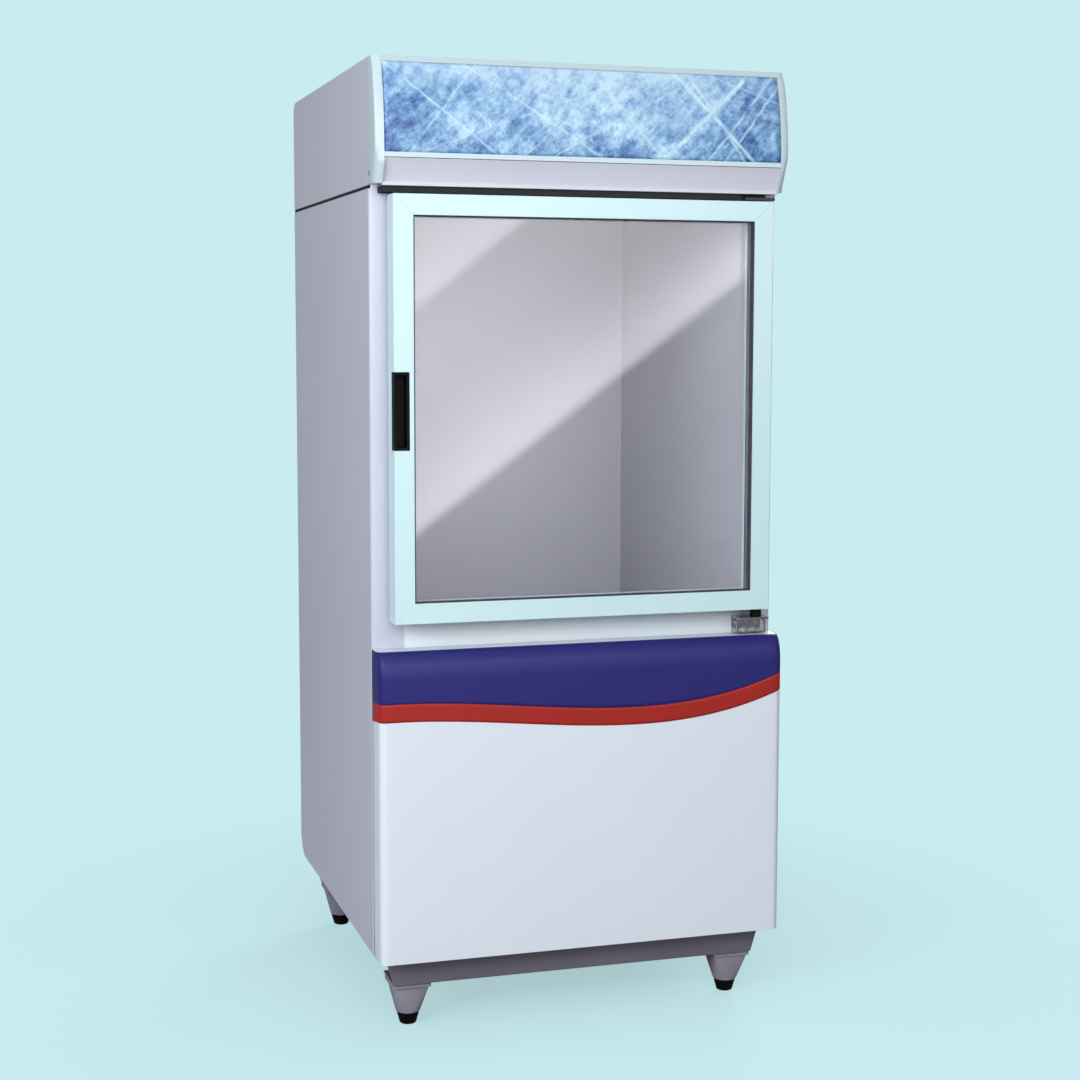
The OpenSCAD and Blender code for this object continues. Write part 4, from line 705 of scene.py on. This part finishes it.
def makeFloor():
    mesh = bpy.data.meshes.new("studio_floor")
    far = stageLook["floorHalf"]
    mesh.from_pydata([(-far, -far, 0), (far, -far, 0), (far, far, 0), (-far, far, 0)], [], [(0, 1, 2, 3)])
    floor = bpy.data.objects.new("studio_floor", mesh)
    bpy.context.scene.collection.objects.link(floor)
    material = bpy.data.materials.new("pale_studio_floor")
    tree, out = startTree(material, "ShaderNodeOutputMaterial")
    place = addNode(tree, "ShaderNodeTexCoord").outputs["Object"]
    away = addNode(tree, "ShaderNodeVectorMath", None, {0: place}, operation="LENGTH").outputs["Value"]
    seen = addNode(tree, "ShaderNodeLightPath").outputs["Is Camera Ray"]
    # the camera sees the backdrop's colour and its glow, and other rays the bounce and the room's light
    backdrop = toLinear(stageLook["backdrop"])
    colour = addNode(tree, "ShaderNodeMix", {6: toLinear(stageLook["bounce"]), 7: backdrop}, {0: seen},
                     data_type="RGBA")
    matt = addNode(tree, "ShaderNodeBsdfDiffuse", None, {"Color": colour.outputs[2]})
    glow = addNode(tree, "ShaderNodeMix", {6: toLinear(stageLook["ambient"]), 7: backdrop}, {0: seen},
                   data_type="RGBA")
    level = addNode(tree, "ShaderNodeMapRange", {"To Min": stageLook["ambientLevel"], "To Max": 1.0},
                    {"Value": seen})
    lit = addNode(tree, "ShaderNodeEmission", None, {"Color": glow.outputs[2], "Strength": level.outputs[0]})
    fade = addNode(tree, "ShaderNodeMapRange", {
        "From Min": stageLook["near"], "From Max": stageLook["far"],
        "To Min": 1 - stageLook["shadowShare"], "To Max": 1.0}, {"Value": away}, clamp=True)
    haze = addNode(tree, "ShaderNodeMapRange", {
        "From Min": stageLook["hazeNear"], "From Max": stageLook["hazeFar"]}, {"Value": away}, clamp=True)
    share = addNode(tree, "ShaderNodeMix", None, {0: seen, 2: haze.outputs[0], 3: fade.outputs[0]})
    mixed = addNode(tree, "ShaderNodeMixShader", None,
                    {0: share.outputs[0], 1: matt.outputs[0], 2: lit.outputs[0]})
    tree.links.new(mixed.outputs[0], out.inputs["Surface"])
    mesh.materials.append(material)

# the room: the camera sees the backdrop, and everything else a dim white light
def makeRoom():
    world = bpy.data.worlds.new("studio")
    tree, out = startTree(world, "ShaderNodeOutputWorld")
    seen = addNode(tree, "ShaderNodeLightPath").outputs["Is Camera Ray"]
    dim = addNode(tree, "ShaderNodeBackground", {
        "Color": toLinear(stageLook["ambient"]), "Strength": stageLook["ambientLevel"]})
    backdrop = addNode(tree, "ShaderNodeBackground", {"Color": toLinear(stageLook["backdrop"])})
    mixed = addNode(tree, "ShaderNodeMixShader", None, {0: seen, 1: dim.outputs[0], 2: backdrop.outputs[0]})
    tree.links.new(mixed.outputs[0], out.inputs["Surface"])
    bpy.context.scene.world = world

# a lamp that the camera doesn't see; size in metres, power in watts
def addArea(name, size, power):
    data = bpy.data.lights.new(name, "AREA")
    data.shape, data.energy = "RECTANGLE", power
    data.size, data.size_y = size
    lamp = bpy.data.objects.new(name, data)
    lamp.visible_camera = False
    bpy.context.scene.collection.objects.link(lamp)
    return lamp

# place and target in metres
lamps = {
    "key": {"place": (-1.1, -4.3, 2.4), "target": (0, 0, 1.0), "size": (2.2, 1.6), "power": 69,
            "colour": "#ffffff"},
    "fill": {"place": (0.9, -4.2, 2.8), "target": (0, 0, 1.9), "size": (1.6, 1.2), "power": 21,
             "colour": "#ffffff"},
    "left": {"place": (-3.6, -2.7, 2.3), "target": (0, 0, 0.9), "size": (2.2, 2.2), "power": 130,
             "colour": "#f6f8ff"},
    "back": {"place": (2.8, 3.6, 2.6), "target": (0, 0, 1.0), "size": (2.2, 2.0), "power": 110,
             "colour": "#ffffff"},
    "top": {"place": (0.0, -1.8, 4.4), "target": (0, 0, 1.2), "size": (2.0, 2.0), "power": 20,
            "colour": "#ffffff"}}

def makeLamp(name, look):
    lamp = addArea(name, look["size"], look["power"])
    lamp.data.color = toLinear(look["colour"])[:3]
    lamp.location = look["place"]
    lamp.rotation_mode = "QUATERNION"
    lamp.rotation_quaternion = (Vector(look["target"]) - Vector(look["place"])).to_track_quat("-Z", "Y")

# two large soft sources in front of the freezer, whose slanting lower edges show in the door's glass: they
# are seen in reflections alone, and the lamps above do the lighting; each is given by two points of that
# edge (x, z, metres), its place along Y, how far it reaches up from the edge and its radiance
cards = {"broad": {"start": (0.592, 0.518), "end": (1.937, 1.508), "y": -4.2, "reach": 2.0, "radiance": 2.8},
         "corner": {"start": (0.620, 1.390), "end": (1.092, 1.762), "y": -4.3, "reach": 0.9, "radiance": 1.8}}
# how both fade from the edge: metres above it, level
cardFade = [(-0.8, 0.0), (-0.35, 0.07), (0.0, 0.17), (0.035, 0.88), (0.06, 1.0), (0.12, 0.95), (0.24, 0.76),
            (0.38, 0.66), (0.60, 0.70)]
cardLook = {"stretch": 2.2, "tint": (0.98, 0.985, 1.02)}  # length over the two points' distance, linear tint

def makeCard(name, card):
    start, end = (Vector((card[k][0], card["y"], card[k][1])) for k in ("start", "end"))
    facing = Vector((0, -1, 0))
    along = (end - start).normalized()
    across = facing.cross(along)
    length = (end - start).length * cardLook["stretch"]
    skirt = cardFade[0][0]
    width = card["reach"] - skirt
    centre = (start + end) / 2 + across * (card["reach"] + skirt) / 2
    lamp = addArea(name, (length, width), card["radiance"] * math.pi * length * width)
    lamp.visible_diffuse = False
    lamp.matrix_world = Matrix.Translation(centre) @ Matrix((along, across, facing)).transposed().to_4x4()
    tree, out = startTree(lamp.data, "ShaderNodeOutputLight")
    spot = addNode(tree, "ShaderNodeNewGeometry").outputs["Parametric"]
    axes = addNode(tree, "ShaderNodeSeparateXYZ", None, {0: spot})
    ramp = addNode(tree, "ShaderNodeValToRGB", None, {0: axes.outputs["Y"]})
    levels = ramp.color_ramp.elements
    for k, (distance, level) in enumerate(cardFade):
        if k > 1:
            levels.new(1.0)
        levels[k].position = (distance - skirt) / width
        levels[k].color = (*(level * part for part in cardLook["tint"]), 1.0)
    glow = addNode(tree, "ShaderNodeEmission", {"Strength": 1.0}, {"Color": ramp.outputs["Color"]})
    tree.links.new(glow.outputs[0], out.inputs["Surface"])

# place in metres, turns in degrees, focal length and sensor in mm
lens = {"place": (-1.1447, -3.8243, 1.3170), "yaw": 17.137, "pitch": -5.786, "roll": 0.098, "length": 64.36,
        "sensor": 36.0, "shift": -0.0111}

# the camera's axes: forward by yaw and pitch, right level, then both turned by the roll
def makeCamera():
    yaw, pitch, roll = (math.radians(lens[k]) for k in ("yaw", "pitch", "roll"))
    forward = Vector((math.sin(yaw) * math.cos(pitch), math.cos(yaw) * math.cos(pitch), math.sin(pitch)))
    level = Vector((math.cos(yaw), -math.sin(yaw), 0))
    up = level.cross(forward)
    right = level * math.cos(roll) + up * math.sin(roll)
    above = up * math.cos(roll) - level * math.sin(roll)
    data = bpy.data.cameras.new("camera")
    data.lens, data.sensor_width, data.shift_y = lens["length"], lens["sensor"], lens["shift"]
    camera = bpy.data.objects.new("camera", data)
    turn = Matrix((right, above, -forward)).transposed()
    camera.matrix_world = Matrix.Translation(lens["place"]) @ turn.to_4x4()
    bpy.context.scene.collection.objects.link(camera)
    bpy.context.scene.camera = camera

makeFloor()
makeRoom()
for name, look in lamps.items():
    makeLamp(name, look)
for name, card in cards.items():
    makeCard(name, card)
makeCamera()
bpy.context.scene.view_settings.view_transform = "Standard"
print("stage, lamps and camera made")
